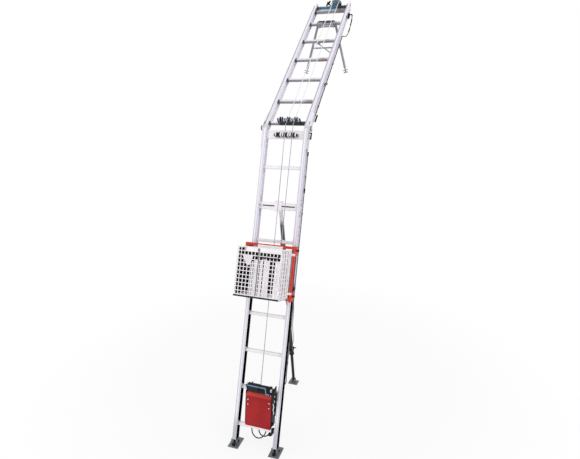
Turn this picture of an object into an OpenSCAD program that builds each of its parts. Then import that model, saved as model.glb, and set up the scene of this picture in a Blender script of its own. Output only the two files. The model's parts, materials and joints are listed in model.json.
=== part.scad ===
// Material hoist: an inclined ladder with a rope winch, a knee joint, a telescopic prop and a basket carriage.
// Millimetres. X points right, Y towards the building, Z up.
// The origin is on the floor under the middle of the overall box.

/* [Ladder] */
// Angle of the lower ladder above the floor
lower_tilt = 72.5; // [68:0.5:76]
// Bend at the knee between the lower and the upper ladder
knee_bend = 34; // [26:1:42]
// Distance between the centre lines of the two rails
rail_spacing = 388; // [372:2:420]
// Width of a rail across the ladder
rail_width = 36; // [34:1:40]
// Depth of a rail from front to back
rail_depth = 70; // [66:1:78]
// Thickness of the rail's flanges and web
rail_wall = 5; // [4:0.5:6]
// Distance between rungs
rung_pitch = 333; // [325:1:345]
// Height of the first rung along the lower ladder
first_rung = 210; // [205:1:220]
// Outside size of the square rung tube
rung_size = 30; // [26:1:32]
// Wall of the rung tube
rung_wall = 3; // [2:0.5:4]

/* [Feet] */
// Width of a front foot plate
foot_width = 97; // [85:1:115]
// Depth of a front foot plate
foot_depth = 142; // [120:1:160]
// Thickness of the foot plates
foot_plate = 8; // [6:1:12]
// Height of the foot pivots above the floor
foot_pivot_height = 36; // [34:1:42]
// Diameter of the foot pivot pins
foot_pin = 12; // [10:1:14]

/* [Prop] */
// Lean of the prop from upright
prop_lean = 10.7; // [9:0.1:13]
// Outside diameter of the outer prop tube
prop_outer = 38; // [36:1:44]
// Outside diameter of the inner prop tube
prop_inner = 30; // [26:1:32]
// Length of the outer prop tube from its pivot
prop_outer_length = 1700; // [1600:10:1750]

/* [Winch] */
// Lean of the winch towards the ladder's front
winch_lean = 9.5; // [8:0.5:10.5]
// Width of the winch cover
cover_width = 240; // [220:2:250]
// Height of the winch cover
cover_height = 324; // [310:2:326]
// Diameter of the rope drum's barrel
drum_diameter = 72; // [64:1:74]
// Diameter of the rope drum's flanges
drum_flange = 81; // [78:1:88]

/* [Carriage] */
// Length of the carriage side frames along the ladder
carriage_length = 482; // [450:2:500]
// Height of the carriage's lower end along the ladder
carriage_start = 1364; // [1300:2:1420]
// Diameter of the running wheels
wheel_diameter = 48; // [42:1:52]
// Diameter of the counter wheels behind the flange
counter_diameter = 28; // [24:1:30]

/* [Basket] */
// Width of the basket
basket_width = 408; // [380:2:420]
// Height of the basket
basket_height = 420; // [390:2:440]
// Distance from the basket's back to its front
basket_depth = 228; // [200:2:260]
// Cells across one mesh panel
mesh_cells = 12; // [8:1:14]
// Width of a mesh wire
wire_width = 5; // [4:0.5:7]

/* [Rope] */
// Diameter of the hoist rope
rope_diameter = 7; // [5:0.5:8]
// Sideways place of the rope run that comes from the winch
rope_up_x = 15; // [12:1:18]
// Distance between the two rope runs
rope_spacing = 70; // [66:1:76]
// Outside diameter of the knee pulleys
pulley_diameter = 50; // [46:1:54]
// Diameter at the bottom of the pulley groove
pulley_groove = 34; // [30:1:36]

/* [Roof support] */
// Length of the hanging roof support legs
leg_length = 440; // [400:5:480]
// Distance between the leg tops
leg_top_width = 210; // [200:2:230]
// Distance between the leg ends
leg_end_width = 440; // [400:2:460]

/* [Clearances] */
// Gap between faces of parts that move against each other
running_gap = 0.3; // [0.2:0.05:0.6]
// Gap around a pin that turns in its bore
pin_gap = 0.05; // [0.02:0.01:0.1]
// Gap between pieces that stand beside each other
side_gap = 1; // [0.5:0.1:2]

/* [Hidden] */

$fn = 40;
aluminium = [0.88, 0.87, 0.91];
steel = [0.72, 0.73, 0.75];
dark = [0.10, 0.10, 0.11];
red = [0.68, 0.18, 0.18];
blue = [0.28, 0.48, 0.60];
grey = [0.45, 0.46, 0.47];

// Ladder stations, measured along the lower ladder from the floor
rail_x = rail_spacing / 2;
rail_inner = rail_x - rail_width / 2;
rail_outer = rail_x + rail_width / 2;
web_inner = rail_x - rail_wall / 2;
mid_depth = rail_depth / 2;
rung_front = -mid_depth + rung_size / 2;
rung_back = -mid_depth - rung_size / 2;
rung_1 = first_rung + rung_pitch;
joint_at = first_rung + 6 * rung_pitch - 16;
joint_gap = 2;
stay_eye_at = 1373;
cable_leaves_at = rung_1 + 157;
joint_rung_offset = rung_size / 2 + 3;
knee_at = joint_at + 712;
end_plate_height = 78;
end_plate_at = knee_at - 60;
hub_radius = mid_depth;
hub_gap = 0.5;
knee_cut = 18;
knee_plate = 180;

// Stations along the upper ladder, measured from the knee pivot
upper_first = 374;
upper_bar_at = 66;
upper_top_rung = upper_first + 4 * rung_pitch;
top_bar_at = upper_top_rung + 258;
eye_at = top_bar_at + 120;
eye_sheet = 12;
upper_tilt = lower_tilt - knee_bend;

// Frame of the whole object
knee_y = knee_at * cos(lower_tilt) + mid_depth * sin(lower_tilt);
knee_z = knee_at * sin(lower_tilt) - mid_depth * cos(lower_tilt);
shoe_at = (foot_pivot_height + mid_depth * cos(lower_tilt)) / sin(lower_tilt);
foot_pivot_y = shoe_at * cos(lower_tilt) + mid_depth * sin(lower_tilt);
foot_front_y = foot_pivot_y - 60;
eye_y = knee_y + eye_at * cos(upper_tilt);
box_middle_y = (foot_front_y + eye_y + mid_depth) / 2;

// Prop
prop_pivot_n = -92;
prop_y = joint_at * cos(lower_tilt) - prop_pivot_n * sin(lower_tilt);
prop_z = joint_at * sin(lower_tilt) + prop_pivot_n * cos(lower_tilt);
prop_foot_height = 44;
prop_length = (prop_z - prop_foot_height) / cos(prop_lean);
prop_inner_top = prop_outer_length - 570;

// Winch, in a frame at the second rung
winch_shift = 13.6;
winch_forward = 38;
cover_front = 36;
cover_top = 4;
cover_back = -18;
cover_floor = cover_top - 309;
cover_sheet = 3;
cheek_inner = cover_width / 2 + side_gap;
cheek_sheet = 6;
cheek_outer = cheek_inner + cheek_sheet;
drum_y = cover_top + drum_flange / 2 + 1.5;
drum_z = 40;
motor_y = -168;
motor_z = -20;
motor_diameter = 64;
bearing_x = -103;
drum_left = bearing_x + 5;
drum_right = cheek_inner - 6;
drum_shaft = 20;
gear_sheet = 22;
guard = [drum_y + 34, drum_z + 42];
guard_low = [drum_y - 12, drum_z + 50];
box_x = cheek_outer + gear_sheet + 6;
box_y = -25;
box_back = -10;

// A point of the winch frame, given in the lower ladder's frame
function winch_point(x, y, z) = [x + winch_shift, rung_1 + y * cos(winch_lean) - (z + winch_forward) * sin(winch_lean),
    -mid_depth + y * sin(winch_lean) + (z + winch_forward) * cos(winch_lean)];

// Rope plane in front of the rails
rope_radius = rope_diameter / 2;
pulley_n = 14;
rope_n = pulley_n + pulley_groove / 2 + rope_radius + running_gap;
rope_fall_x = rope_up_x + rope_spacing;
pulley_width = 26;
pulley_axle = 12;
lower_pulley_at = end_plate_at - 12;
upper_pulley_at = upper_bar_at - 2;
pulley_x = [rope_up_x - rope_spacing, rope_up_x, rope_fall_x];
drum_s = winch_point(0, drum_y, drum_z)[1];
drum_n = winch_point(0, drum_y, drum_z)[2];
rope_start_n = drum_n - drum_diameter / 2 - rope_radius - running_gap;

// Carriage
wheel_width = 12;
wheel_x = rail_x + rail_width / 4;
wheel_n = wheel_diameter / 2 + running_gap;
counter_n = -rail_wall - counter_diameter / 2 - running_gap;
side_inner = rail_outer + 4;
side_sheet = 6;
side_outer = side_inner + side_sheet;
side_flange = 12;
bar_n = 72;
bar_size = 24;
wheel_low_at = carriage_start + 44;
wheel_top_at = carriage_start + carriage_length - 34;
bar_low_at = carriage_start + 22;
bar_top_at = carriage_start + carriage_length - 14;
hook_at = bar_top_at + 22;
axle_size = 10;

// Basket
basket_at = carriage_start + 27;
basket_back_n = bar_n + bar_size / 2 + 4;
basket_front_n = basket_back_n + basket_depth;
panel_sheet = 5;
panel_edge = 10;
gate_gap = 3;
gate_axis_x = basket_width / 2 - 8;
gate_axis_n = basket_front_n + 4;
knuckle_radius = 7;
gate_pin = 8;
knuckle_low_at = basket_at + 60;
knuckle_top_at = basket_at + basket_height - 90;
knuckle_height = 22;

// Head and roof support
sheave_x = rope_up_x + rope_spacing / 2;
sheave_at = eye_at - 40;
sheave_groove = rope_spacing / 2 - rope_radius - running_gap;
sheave_radius = sheave_groove + 12;
sheave_width = 18;
clamp_x = rail_inner - 22;
clamp_at = top_bar_at + 36;
clamp_n = 24;
clamp_pin = 8;
support_z = rung_back + mid_depth - 18;
support_pin = 14;
leg_tube = 25;
leg_screw = 14;
leg_splay = atan((leg_end_width - leg_top_width) / 2 / leg_length);
leg_long = leg_length / cos(leg_splay);
limit_at = top_bar_at - 96;

// Free leads, as points from the floor between the rails' front faces
lead_points = [[-57, 128.5, 208.8], [-57, 126, 191], [-57, 120, 171], [-56, 112, 150], [-52, 105, 129], [-43, 99, 110],
    [-30, 94, 96], [-14, 90, 87], [4, 88, 83], [23, 89, 84], [41, 92, 91], [57, 97, 104], [69, 103, 120],
    [77, 110, 139], [79, 117, 158], [75, 125, 176], [65, 132, 189], [50, 136, 195], [34, 136, 193], [20, 131, 183],
    [12, 124, 168], [11, 116, 151], [17, 109, 134], [29, 103, 120], [45, 99, 111], [63, 97, 108], [80, 98, 111],
    [95, 101, 120]];
plug_length = 48;
limit_points = [[238, 2385, 3925], [245, 2405, 3930], [246, 2428, 3928], [243, 2447, 3914], [240, 2455, 3892],
    [237, 2450, 3866], [234, 2435, 3836], [231, 2415, 3804], [229, 2392, 3774], [227, 2365, 3745], [225, 2334, 3720],
    [223, 2300, 3702], [222, 2264, 3690], [221, 2226, 3682], [220, 2190, 3677], [219, 2155, 3673], [219, 2124, 3672]];
stay_points = [[205, 500, 1282], [202, 520, 1252], [196, 541, 1220], [190, 556, 1196], [183, 580, 1162],
    [175, 604, 1126], [164, 629, 1076], [152, 656, 1024], [140, 683, 970], [128, 712, 916], [114, 759, 851],
    [100, 808, 784], [86, 858, 714], [72, 904, 648], [59, 931, 596], [46, 954, 548], [35, 980, 506], [27, 1006, 472],
    [19, 1033, 446]];
lead_diameter = 10;
limit_diameter = 8;
stay_diameter = 6;
lead_sides = 8;

// Places the lower ladder: local x across, y up along the rails, z out of the rails' front faces
module lower_frame() {
    translate([0, -box_middle_y, 0]) rotate([lower_tilt, 0, 0]) children();
}

// Places the upper ladder at the knee pivot, z measured from the rails' middle
module upper_frame() {
    lower_frame() translate([0, knee_at, -mid_depth]) rotate([-knee_bend, 0, 0]) children();
}

// Places the winch at the second rung
module winch_frame() {
    lower_frame() translate([winch_shift, rung_1, -mid_depth]) rotate([winch_lean, 0, 0])
        translate([0, 0, winch_forward]) children();
}

// Places the prop at its pivot, with the prop running down local z
module prop_frame() {
    translate([0, prop_y - box_middle_y, prop_z]) rotate([prop_lean, 0, 0]) children();
}

// Extrudes a drawing of x and depth along the ladder
module along_ladder(from, to) {
    translate([0, from, 0]) rotate([-90, 0, 0]) linear_extrude(to - from) children();
}

// Extrudes a drawing of ladder height and front distance across the ladder
module across(from, to) {
    translate([from, 0, 0]) rotate([90, 0, 90]) linear_extrude(to - from) children();
}

// A block between two corners
module block(from, to) {
    translate(from) cube(to - from);
}

// A round bar across the ladder
module pin_x(from, to, y, z, diameter) {
    translate([from, y, z]) rotate([0, 90, 0]) cylinder(h = to - from, d = diameter);
}

// A round bar out of the ladder's face
module pin_z(x, y, from, to, diameter) {
    translate([x, y, from]) cylinder(h = to - from, d = diameter);
}

// A round bar along the ladder
module pin_y(x, z, from, to, diameter) {
    translate([x, from, z]) rotate([-90, 0, 0]) cylinder(h = to - from, d = diameter);
}

// A round bar between two points
module rod(from, to, diameter) {
    way = to - from;
    long = norm(way);
    translate(from) rotate([0, acos(way[2] / long), atan2(way[1], way[0])]) cylinder(h = long, d = diameter);
}

// A bent round bar through a list of points
module bent_rod(points, diameter) {
    for (k = [0 : len(points) - 2]) rod(points[k], points[k + 1], diameter);
    for (k = [1 : len(points) - 2]) translate(points[k]) sphere(d = diameter * 1.08);
}

// A tube swept along a list of points, for a free lead
module lead(points, diameter, sides) {
    count = len(points);
    rings = [for (k = [0 : count - 1])
        let (way = points[min(k + 1, count - 1)] - points[max(k - 1, 0)],
            unit = way / norm(way),
            guide = abs(unit[0]) < 0.8 ? [1, 0, 0] : [0, 1, 0],
            first = cross(guide, unit) / norm(cross(guide, unit)),
            second = cross(unit, first))
        for (j = [0 : sides - 1]) points[k] + diameter / 2 * (cos(j * 360 / sides) * first
            + sin(j * 360 / sides) * second)];
    walls = [for (k = [0 : count - 2]) for (j = [0 : sides - 1])
        let (a = k * sides + j, b = k * sides + (j + 1) % sides)
        each [[a, a + sides, b], [b, a + sides, b + sides]]];
    start = [[for (j = [0 : sides - 1]) j]];
    end = [[for (j = [0 : sides - 1]) (count - 1) * sides + sides - 1 - j]];
    polyhedron(points = rings, faces = concat(walls, start, end), convexity = 8);
}

// Outline of a rail: front flange, web and back flange
module rail_outline() {
    half = rail_width / 2;
    web = rail_wall / 2;
    inside = rail_depth - rail_wall;
    polygon([[-half, 0], [half, 0], [half, rail_wall], [web, rail_wall], [web, inside], [half, inside],
        [half, rail_depth], [-half, rail_depth], [-half, inside], [-web, inside], [-web, rail_wall],
        [-half, rail_wall]]);
}

// Outline of a square tube with cut corners
module tube_outline(size, wall) {
    half = size / 2;
    cut = wall;
    difference() {
        polygon([[-half + cut, -half], [half - cut, -half], [half, -half + cut], [half, half - cut],
            [half - cut, half], [-half + cut, half], [-half, half - cut], [-half, -half + cut]]);
        square(size - 2 * wall, center = true);
    }
}

// A rung between the two rail webs
module rung(at) {
    across(-web_inner, web_inner) translate([at, -mid_depth]) tube_outline(rung_size, rung_wall);
}

// Bolts that hold the splice bars, as shanks or as holes
module splice_bolts(diameter) {
    for (side = [-1, 1]) for (n = [-rail_wall - 7, -rail_depth + rail_wall + 7]) for (step = [-70, -30, 30, 70])
        pin_x(side < 0 ? -rail_x - rail_wall / 2 : web_inner - 12, side < 0 ? -web_inner + 12 : rail_x + rail_wall / 2,
            joint_at + step, n, diameter);
}

module base_rails() color(aluminium) lower_frame() difference() {
    union() {
        for (side = [-1, 1]) translate([side * rail_x, 0, 0]) {
            along_ladder(shoe_at + 28, joint_at - joint_gap / 2) rail_outline();
            along_ladder(shoe_at + 20, shoe_at + 29) translate([-rail_width / 2, 0]) square([rail_width, rail_depth]);
            across(-10, 10) translate([shoe_at, -mid_depth - 16]) square([21, 32]);
            pin_x(-10, 10, shoe_at, -mid_depth, 32);
        }
        block([rail_x + 5, stay_eye_at - 7, -rail_depth - 19], [rail_x + 17, stay_eye_at + 7, -rail_depth + 1]);
    }
    splice_bolts(8.2);
    for (side = [-1, 1]) pin_x(side * rail_x - 11, side * rail_x + 11, shoe_at, -mid_depth, foot_pin + 2 * pin_gap);
}

module knee_rails() color(aluminium) lower_frame() difference() {
    for (side = [-1, 1]) translate([side * rail_x, 0, 0])
        along_ladder(joint_at + joint_gap / 2, knee_at) rail_outline();
    splice_bolts(8.2);
    pin_x(-rail_outer - 1, rail_outer + 1, knee_at, -mid_depth, 2 * hub_radius + 2 * hub_gap);
    block([-rail_outer - 1, knee_at - knee_cut, -rail_depth - 1],
        [rail_outer + 1, knee_at + 1, -rail_depth + rail_wall + 1]);
}

module lower_rungs() color(aluminium) lower_frame() {
    for (k = [0 : 5]) rung(first_rung + k * rung_pitch);
    rung(joint_at - joint_rung_offset);
    rung(joint_at + joint_rung_offset);
    rung(joint_at + joint_rung_offset + rung_pitch);
    low = end_plate_at - end_plate_height / 2;
    high = end_plate_at + end_plate_height / 2;
    difference() {
        block([-web_inner, low, rung_back], [web_inner, high, rung_front + 4]);
        block([-web_inner - 1, low + rung_wall, rung_back + rung_wall],
            [web_inner + 1, high - rung_wall, rung_front + 4 - rung_wall]);
        for (side = [-1, 1]) pin_x(side < 0 ? -rail_x : rail_inner - side_gap, side < 0 ? -rail_inner + side_gap : rail_x,
            knee_at, -mid_depth, 2 * hub_radius + 2 * hub_gap);
        for (at = [end_plate_at - 22, end_plate_at + 22])
            block([-web_inner - 1, at - 3, rung_front + 3], [web_inner + 1, at + 3, rung_front + 5]);
    }
}

module joint_splices() color(steel) lower_frame() {
    for (side = [-1, 1]) for (n = [-rail_wall - 7, -rail_depth + rail_wall + 7]) {
        mid = side * (web_inner - 5);
        block([mid - 5, joint_at - 95, n - 6], [mid + 5, joint_at + 95, n + 6]);
    }
    splice_bolts(8);
    for (side = [-1, 1]) for (n = [-rail_wall - 7, -rail_depth + rail_wall + 7]) for (step = [-70, -30, 30, 70])
        translate([side * (web_inner - 12.5), joint_at + step, n]) rotate([0, 90, 0])
            cylinder(h = 5, d = 11, center = true, $fn = 6);
}

// One front foot: a plate with two ears and the pivot pin
module front_foot(side) {
    translate([side * rail_x, foot_pivot_y - box_middle_y, 0]) {
        block([-foot_width / 2, -60, 0], [foot_width / 2, foot_depth - 60, foot_plate]);
        for (x = [-18, 18]) translate([x - 7.5 + running_gap / 2, 0, 0]) {
            block([0, -18, foot_plate], [15 - running_gap, 18, foot_pivot_height]);
            pin_x(0, 15 - running_gap, 0, foot_pivot_height, 36);
        }
        pin_x(-30, 30, 0, foot_pivot_height, foot_pin);
        for (x = [-32, 26]) pin_x(x, x + 6, 0, foot_pivot_height, 20);
    }
}

module foot_left() color(grey) front_foot(-1);

module foot_right() color(grey) front_foot(1);

module knee_plates() color(steel) lower_frame() for (side = [-1, 1]) difference() {
    union() {
        pin_x(side * rail_x - rail_width / 2, side * rail_x + rail_width / 2, knee_at, -mid_depth, 2 * hub_radius);
        mid = side * (rail_outer + 3);
        across(mid - 3, mid + 3) {
            translate([knee_at - knee_plate - 10, -rail_depth]) square([knee_plate + 10, rail_depth]);
            translate([knee_at, -mid_depth]) circle(d = rail_depth + 8);
        }
    }
    pin_x(side * rail_x - 60, side * rail_x + 60, knee_at, -mid_depth, 16 + 2 * pin_gap);
}

module knee_pins() color(dark) lower_frame() for (side = [-1, 1]) {
    a = side * (rail_inner - 8);
    b = side * (rail_outer + 30);
    pin_x(min(a, b), max(a, b), knee_at, -mid_depth, 16);
    pin_x(min(a, side * rail_inner), max(a, side * rail_inner), knee_at, -mid_depth, 28);
    c = side * (rail_outer + 6 + 3 * running_gap + 6);
    pin_x(min(c, b), max(c, b), knee_at, -mid_depth, 44);
}

// A grooved pulley on the cross axle
module pulley(x, at, n) {
    half = pulley_width / 2;
    outer = pulley_diameter / 2;
    root = pulley_groove / 2;
    translate([x, at, n]) rotate([0, 90, 0]) rotate_extrude()
        polygon([[pulley_axle / 2 + pin_gap, -half], [outer, -half], [outer, -half + 4], [root, -4], [root, 4],
            [outer, half - 4], [outer, half], [pulley_axle / 2 + pin_gap, half]]);
}

// Axle and hangers that carry three pulleys in front of a cross member
module pulley_bracket(at, face, n) {
    pin_x(pulley_x[0] - 34, pulley_x[2] + 34, at, n, pulley_axle);
    ends = [pulley_x[0] - rope_spacing / 2, pulley_x[0] + rope_spacing / 2, pulley_x[1] + rope_spacing / 2,
        pulley_x[2] + rope_spacing / 2];
    for (x = ends) {
        block([x - 3, at - 12, face], [x + 3, at + 12, n]);
        pin_x(x - 3, x + 3, at, n, 24);
    }
}

module lower_pulley_bracket() color(steel) lower_frame() pulley_bracket(lower_pulley_at, rung_front + 4, pulley_n);

module lower_pulley_1() color(dark) lower_frame() pulley(pulley_x[0], lower_pulley_at, pulley_n);

module lower_pulley_2() color(dark) lower_frame() pulley(pulley_x[1], lower_pulley_at, pulley_n);

module lower_pulley_3() color(dark) lower_frame() pulley(pulley_x[2], lower_pulley_at, pulley_n);

module prop_clamp() color(grey) lower_frame() {
    block([-33, joint_at - 48, rung_front], [33, joint_at + 48, rung_front + 8]);
    block([-33, joint_at - 48, rung_back - 8], [33, joint_at + 48, rung_back]);
    for (x = [-20, 20]) for (at = [joint_at - 42, joint_at + 42])
        pin_z(x, at, rung_back - 14, rung_front + 13, 9);
    for (side = [-1, 1]) difference() {
        x = side * 22;
        union() {
            block([x - 5, joint_at - 18, prop_pivot_n], [x + 5, joint_at + 18, rung_back - 8]);
            pin_x(x - 5, x + 5, joint_at, prop_pivot_n, 36);
        }
        pin_x(x - 6, x + 6, joint_at, prop_pivot_n, 14);
    }
    pin_x(-30, 30, joint_at, prop_pivot_n, 14);
}

module prop_tube() color(grey) prop_frame() difference() {
    union() {
        translate([0, 0, -prop_outer_length]) cylinder(h = prop_outer_length - 40, d = prop_outer);
        translate([0, 0, -prop_outer_length - 4]) cylinder(h = 64, d = prop_outer + 10);
        block([-16, -14, -48], [16, 14, 0]);
        pin_x(-16, 16, 0, 0, 34);
        pin_z(0, 0, -60, -40, prop_outer);
        translate([0, 0, -prop_outer_length + 28]) rotate([-90, 0, 0]) cylinder(h = 46, d = 26);
    }
    pin_x(-17, 17, 0, 0, 14 + 2 * pin_gap);
    translate([0, 0, -prop_outer_length - 6]) cylinder(h = prop_outer_length - 60, d = prop_inner + 2 * running_gap);
    translate([0, 0, -prop_outer_length + 28]) rotate([-90, 0, 0]) cylinder(h = 60, d = 12 + 2 * pin_gap);
}

module prop_screw() color(dark) prop_frame() translate([0, 0, -prop_outer_length + 28]) rotate([-90, 0, 0]) {
    translate([0, 0, prop_inner / 2 + running_gap]) cylinder(h = 64 - prop_inner / 2, d = 12);
    translate([0, 0, 60]) cylinder(h = 12, d = 22);
    pin_x(-30, 30, 0, 66, 9);
}

module prop_leg() color(dark) prop_frame() difference() {
    union() {
        translate([0, 0, -prop_length + 40]) cylinder(h = prop_length - 40 - prop_inner_top, d = prop_inner);
        block([-10, -15, -prop_length], [10, 15, -prop_length + 44]);
        pin_x(-10, 10, 0, -prop_length, 30);
    }
    translate([0, 0, -prop_length + 60]) cylinder(h = prop_length, d = prop_inner - 8);
    pin_x(-11, 11, 0, -prop_length, foot_pin + 2 * pin_gap);
}

module prop_foot() color(grey) {
    y = prop_y + prop_length * sin(prop_lean) - box_middle_y;
    translate([0, y, 0]) {
        block([-50, -40, 0], [50, 40, foot_plate]);
        for (x = [-16, 16]) translate([x - 5.5 + running_gap / 2, 0, 0]) {
            block([0, -17, foot_plate], [11 - running_gap, 17, prop_foot_height]);
            pin_x(0, 11 - running_gap, 0, prop_foot_height, 34);
        }
        pin_x(-26, 26, 0, prop_foot_height, foot_pin);
    }
}

// Side view of a drum bearing plate with the hook that hangs the winch on its rung
module bearing_outline(guard_end) {
    rung_z = -winch_forward;
    hull() {
        translate([drum_y, drum_z]) circle(r = 22);
        translate([drum_y - 16, -4]) circle(r = 12);
    }
    hull() {
        translate([drum_y, drum_z]) circle(r = 12);
        translate(guard_end) circle(r = 9);
    }
    polygon([[20, 0], [45, 0], [45, rung_z - 34], [-12, rung_z - 34], [-12, rung_z - 20], [20, rung_z - 20]]);
}

module winch_chassis() color(dark) winch_frame() {
    bottom = cover_floor + 5;
    half = cheek_sheet / 2;
    for (side = [-1, 1]) {
        mid = side * (cheek_inner + half);
        across(mid - half, mid + half)
            polygon([[bottom, -60], [bottom, 30], [cover_top - 2, 30], [cover_top - 2, 10], [cover_top + 8, 10],
                [cover_top + 8, -17], [-22, -17], [-22, -60]]);
    }
    difference() {
        union() {
            across(bearing_x - half, bearing_x + half) bearing_outline(guard);
            across(cheek_inner, cheek_outer) {
                bearing_outline(guard_low);
                polygon([[0, -10], [0, 28], [40, 50], [40, -5]]);
            }
        }
        pin_x(-cheek_outer, cheek_outer + 1, drum_y, drum_z, drum_shaft + 2 * pin_gap);
    }
    block([-cheek_outer, cover_top + 1, -17], [bearing_x + half, cover_top + 8, 10]);
    block([bearing_x - half, cover_top + 1, -17], [bearing_x + half, drum_y - 10, -1]);
    block([-cheek_inner, bottom, -60], [cheek_inner, bottom + 5, -cover_front + 4]);
    block([-cheek_inner, -130, -60], [cheek_inner, -110, -55]);
    for (x = [-100, 100]) for (y = [-75, -120]) difference() {
        union() {
            pin_z(x, y, -30, cover_front - cover_sheet, 14);
            block([min(x, sign(x) * cheek_inner), y - 5, -30], [max(x, sign(x) * cheek_inner), y + 5, -22]);
        }
        pin_z(x, y, -31, cover_front, 6.4);
    }
}

module winch_cover() color(red) winch_frame() difference() {
    half = cover_width / 2;
    bottom = cover_top - cover_height;
    across(-half, half) polygon([[bottom, cover_back], [bottom, cover_front], [cover_top - 42, cover_front],
        [cover_top, cover_front - 20], [cover_top, cover_back]]);
    across(-half + cover_sheet, half - cover_sheet) polygon([[cover_floor + cover_sheet, cover_back - 1],
        [cover_floor + cover_sheet, cover_front - cover_sheet], [cover_top - 43, cover_front - cover_sheet],
        [cover_top - cover_sheet, cover_front - 22], [cover_top - cover_sheet, cover_back - 1]]);
    block([-half - 1, bottom - 1, cover_back - 1], [half + 1, cover_floor, cover_front - cover_sheet]);
    for (x = [-100, 100]) for (y = [-75, -120]) pin_z(x, y, 0, cover_front + 5, 6.4);
    pin_x(-half - 1, half + 1, motor_y, motor_z, motor_diameter + 18);
}

module winch_screws() color(steel) winch_frame() for (x = [-100, 100]) for (y = [-75, -120]) {
    pin_z(x, y, 4, cover_front, 6);
    pin_z(x, y, cover_front, cover_front + 4, 13);
}

module drum_guard() color(blue) winch_frame() {
    bend = drum_right - 38;
    bent_rod([[bearing_x + cheek_sheet / 2, guard[0], guard[1]], [bend, guard[0], guard[1]],
        [bend + 10, guard_low[0], guard_low[1]], [cheek_inner, guard_low[0], guard_low[1]]], 10);
}

module gear_motor() color(grey) winch_frame() {
    pin_x(-cheek_inner, cheek_inner, motor_y, motor_z, motor_diameter);
    for (k = [0 : 7]) pin_x(-92 + k * 22, -86 + k * 22, motor_y, motor_z, motor_diameter + 12);
    across(cheek_outer, cheek_outer + gear_sheet) hull() {
        translate([drum_y, drum_z]) circle(r = 24);
        translate([motor_y, motor_z + 6]) circle(r = 34);
    }
    across(cheek_outer + gear_sheet, cheek_outer + gear_sheet + 5) {
        translate([drum_y, drum_z]) circle(r = 17);
        translate([motor_y, motor_z + 6]) circle(r = 24);
    }
    slope = (drum_z - motor_z - 6) / (drum_y - motor_y);
    for (way = [48, 82, 190])
        pin_x(cheek_outer + gear_sheet, cheek_outer + gear_sheet + 4, motor_y + way, motor_z + 6 + slope * way, 14);
}

module control_box() color(dark) winch_frame()
    block([box_x - 6, box_y - 35, box_back], [box_x + 6, box_y + 35, box_back + 40]);

module rope_drum() color(dark) winch_frame() {
    pin_x(drum_left, drum_right, drum_y, drum_z, drum_diameter);
    for (x = [drum_left, drum_right - 6]) pin_x(x, x + 6, drum_y, drum_z, drum_flange);
    pin_x(bearing_x - 11, cheek_outer - 1, drum_y, drum_z, drum_shaft);
}

module rope_up() color(steel) lower_frame() rod([rope_up_x, drum_s, rope_start_n], [rope_up_x, lower_pulley_at, rope_n],
    rope_diameter);

module rope_fall() color(steel) lower_frame() rod([rope_fall_x, hook_at + 12, rope_n],
    [rope_fall_x, lower_pulley_at, rope_n], rope_diameter);

module rope_knee() color(steel) {
    bend = rope_n + mid_depth;
    turn = bend * tan(knee_bend / 2);
    for (x = [rope_up_x, rope_fall_x]) {
        lower_frame() rod([x, lower_pulley_at + side_gap, rope_n], [x, knee_at + turn, rope_n], rope_diameter);
        upper_frame() rod([x, -turn, bend], [x, upper_pulley_at - side_gap, bend], rope_diameter);
        lower_frame() translate([x, knee_at + turn, rope_n]) sphere(d = rope_diameter * 1.08);
    }
}

module rope_upper() color(steel) upper_frame() {
    n = rope_n + mid_depth;
    for (x = [rope_up_x, rope_fall_x]) rod([x, upper_pulley_at, n], [x, sheave_at, n], rope_diameter);
    translate([sheave_x, sheave_at, n]) rotate_extrude(angle = 180) translate([rope_spacing / 2, 0]) circle(
        d = rope_diameter);
}

module limit_cable() color(dark) lower_frame() {
    x = rail_outer + 6;
    n = -rail_depth + 4;
    bent_rod([[x, knee_at - 210, n], [x, cable_leaves_at, n], [x, cable_leaves_at - 60, -rail_depth - 10],
        winch_point(box_x, box_y, box_back - 85), winch_point(box_x, box_y, box_back - running_gap)], limit_diameter);
    for (k = [0 : 5]) pin_y(x, n, cable_leaves_at + 100 + k * rung_pitch, cable_leaves_at + 118 + k * rung_pitch, 12);
}

// One side frame of the carriage
module carriage_side(side) {
    mid = side * (side_inner + side_outer) / 2;
    low = carriage_start;
    high = carriage_start + carriage_length;
    front = bar_n + bar_size / 2;
    across(mid - side_sheet / 2, mid + side_sheet / 2)
        polygon([[low, counter_n - 16], [low + 84, counter_n - 16], [low + 100, 40], [high - 90, 40],
            [high - 74, counter_n - 16], [high, counter_n - 16], [high, front], [low, front]]);
    edge = side * (side_outer + side_flange / 2);
    block([edge - side_flange / 2, low, front - 6], [edge + side_flange / 2, high, front]);
}

module carriage_frame() color(red) lower_frame() {
    for (side = [-1, 1]) carriage_side(side);
    for (at = [bar_low_at, bar_top_at]) across(-side_inner, side_inner) translate([at, bar_n])
        tube_outline(bar_size, 3);
    block([rope_fall_x - 22, bar_top_at + 2, rope_n - 4], [rope_fall_x + 22, bar_top_at + 10, bar_n - bar_size / 2]);
    pin_y(rope_fall_x, rope_n, bar_top_at + 2, hook_at + 11, 16);
    for (side = [-1, 1]) for (at = [wheel_low_at, wheel_top_at]) for (n = [wheel_n, counter_n]) {
        inner = side * (wheel_x - wheel_width / 2);
        outer = side * (side_outer + 8);
        pin_x(min(inner, outer), max(inner, outer), at, n, axle_size);
        pin_x(min(side * side_outer, outer), max(side * side_outer, outer), at, n, 18);
    }
}

// A carriage wheel on its axle
module wheel(side, at, n, diameter) {
    difference() {
        pin_x(side * wheel_x - wheel_width / 2, side * wheel_x + wheel_width / 2, at, n, diameter);
        pin_x(side * wheel_x - wheel_width, side * wheel_x + wheel_width, at, n, axle_size + 2 * pin_gap);
    }
}

module wheel_top_left() color(dark) lower_frame() wheel(-1, wheel_top_at, wheel_n, wheel_diameter);

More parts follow.
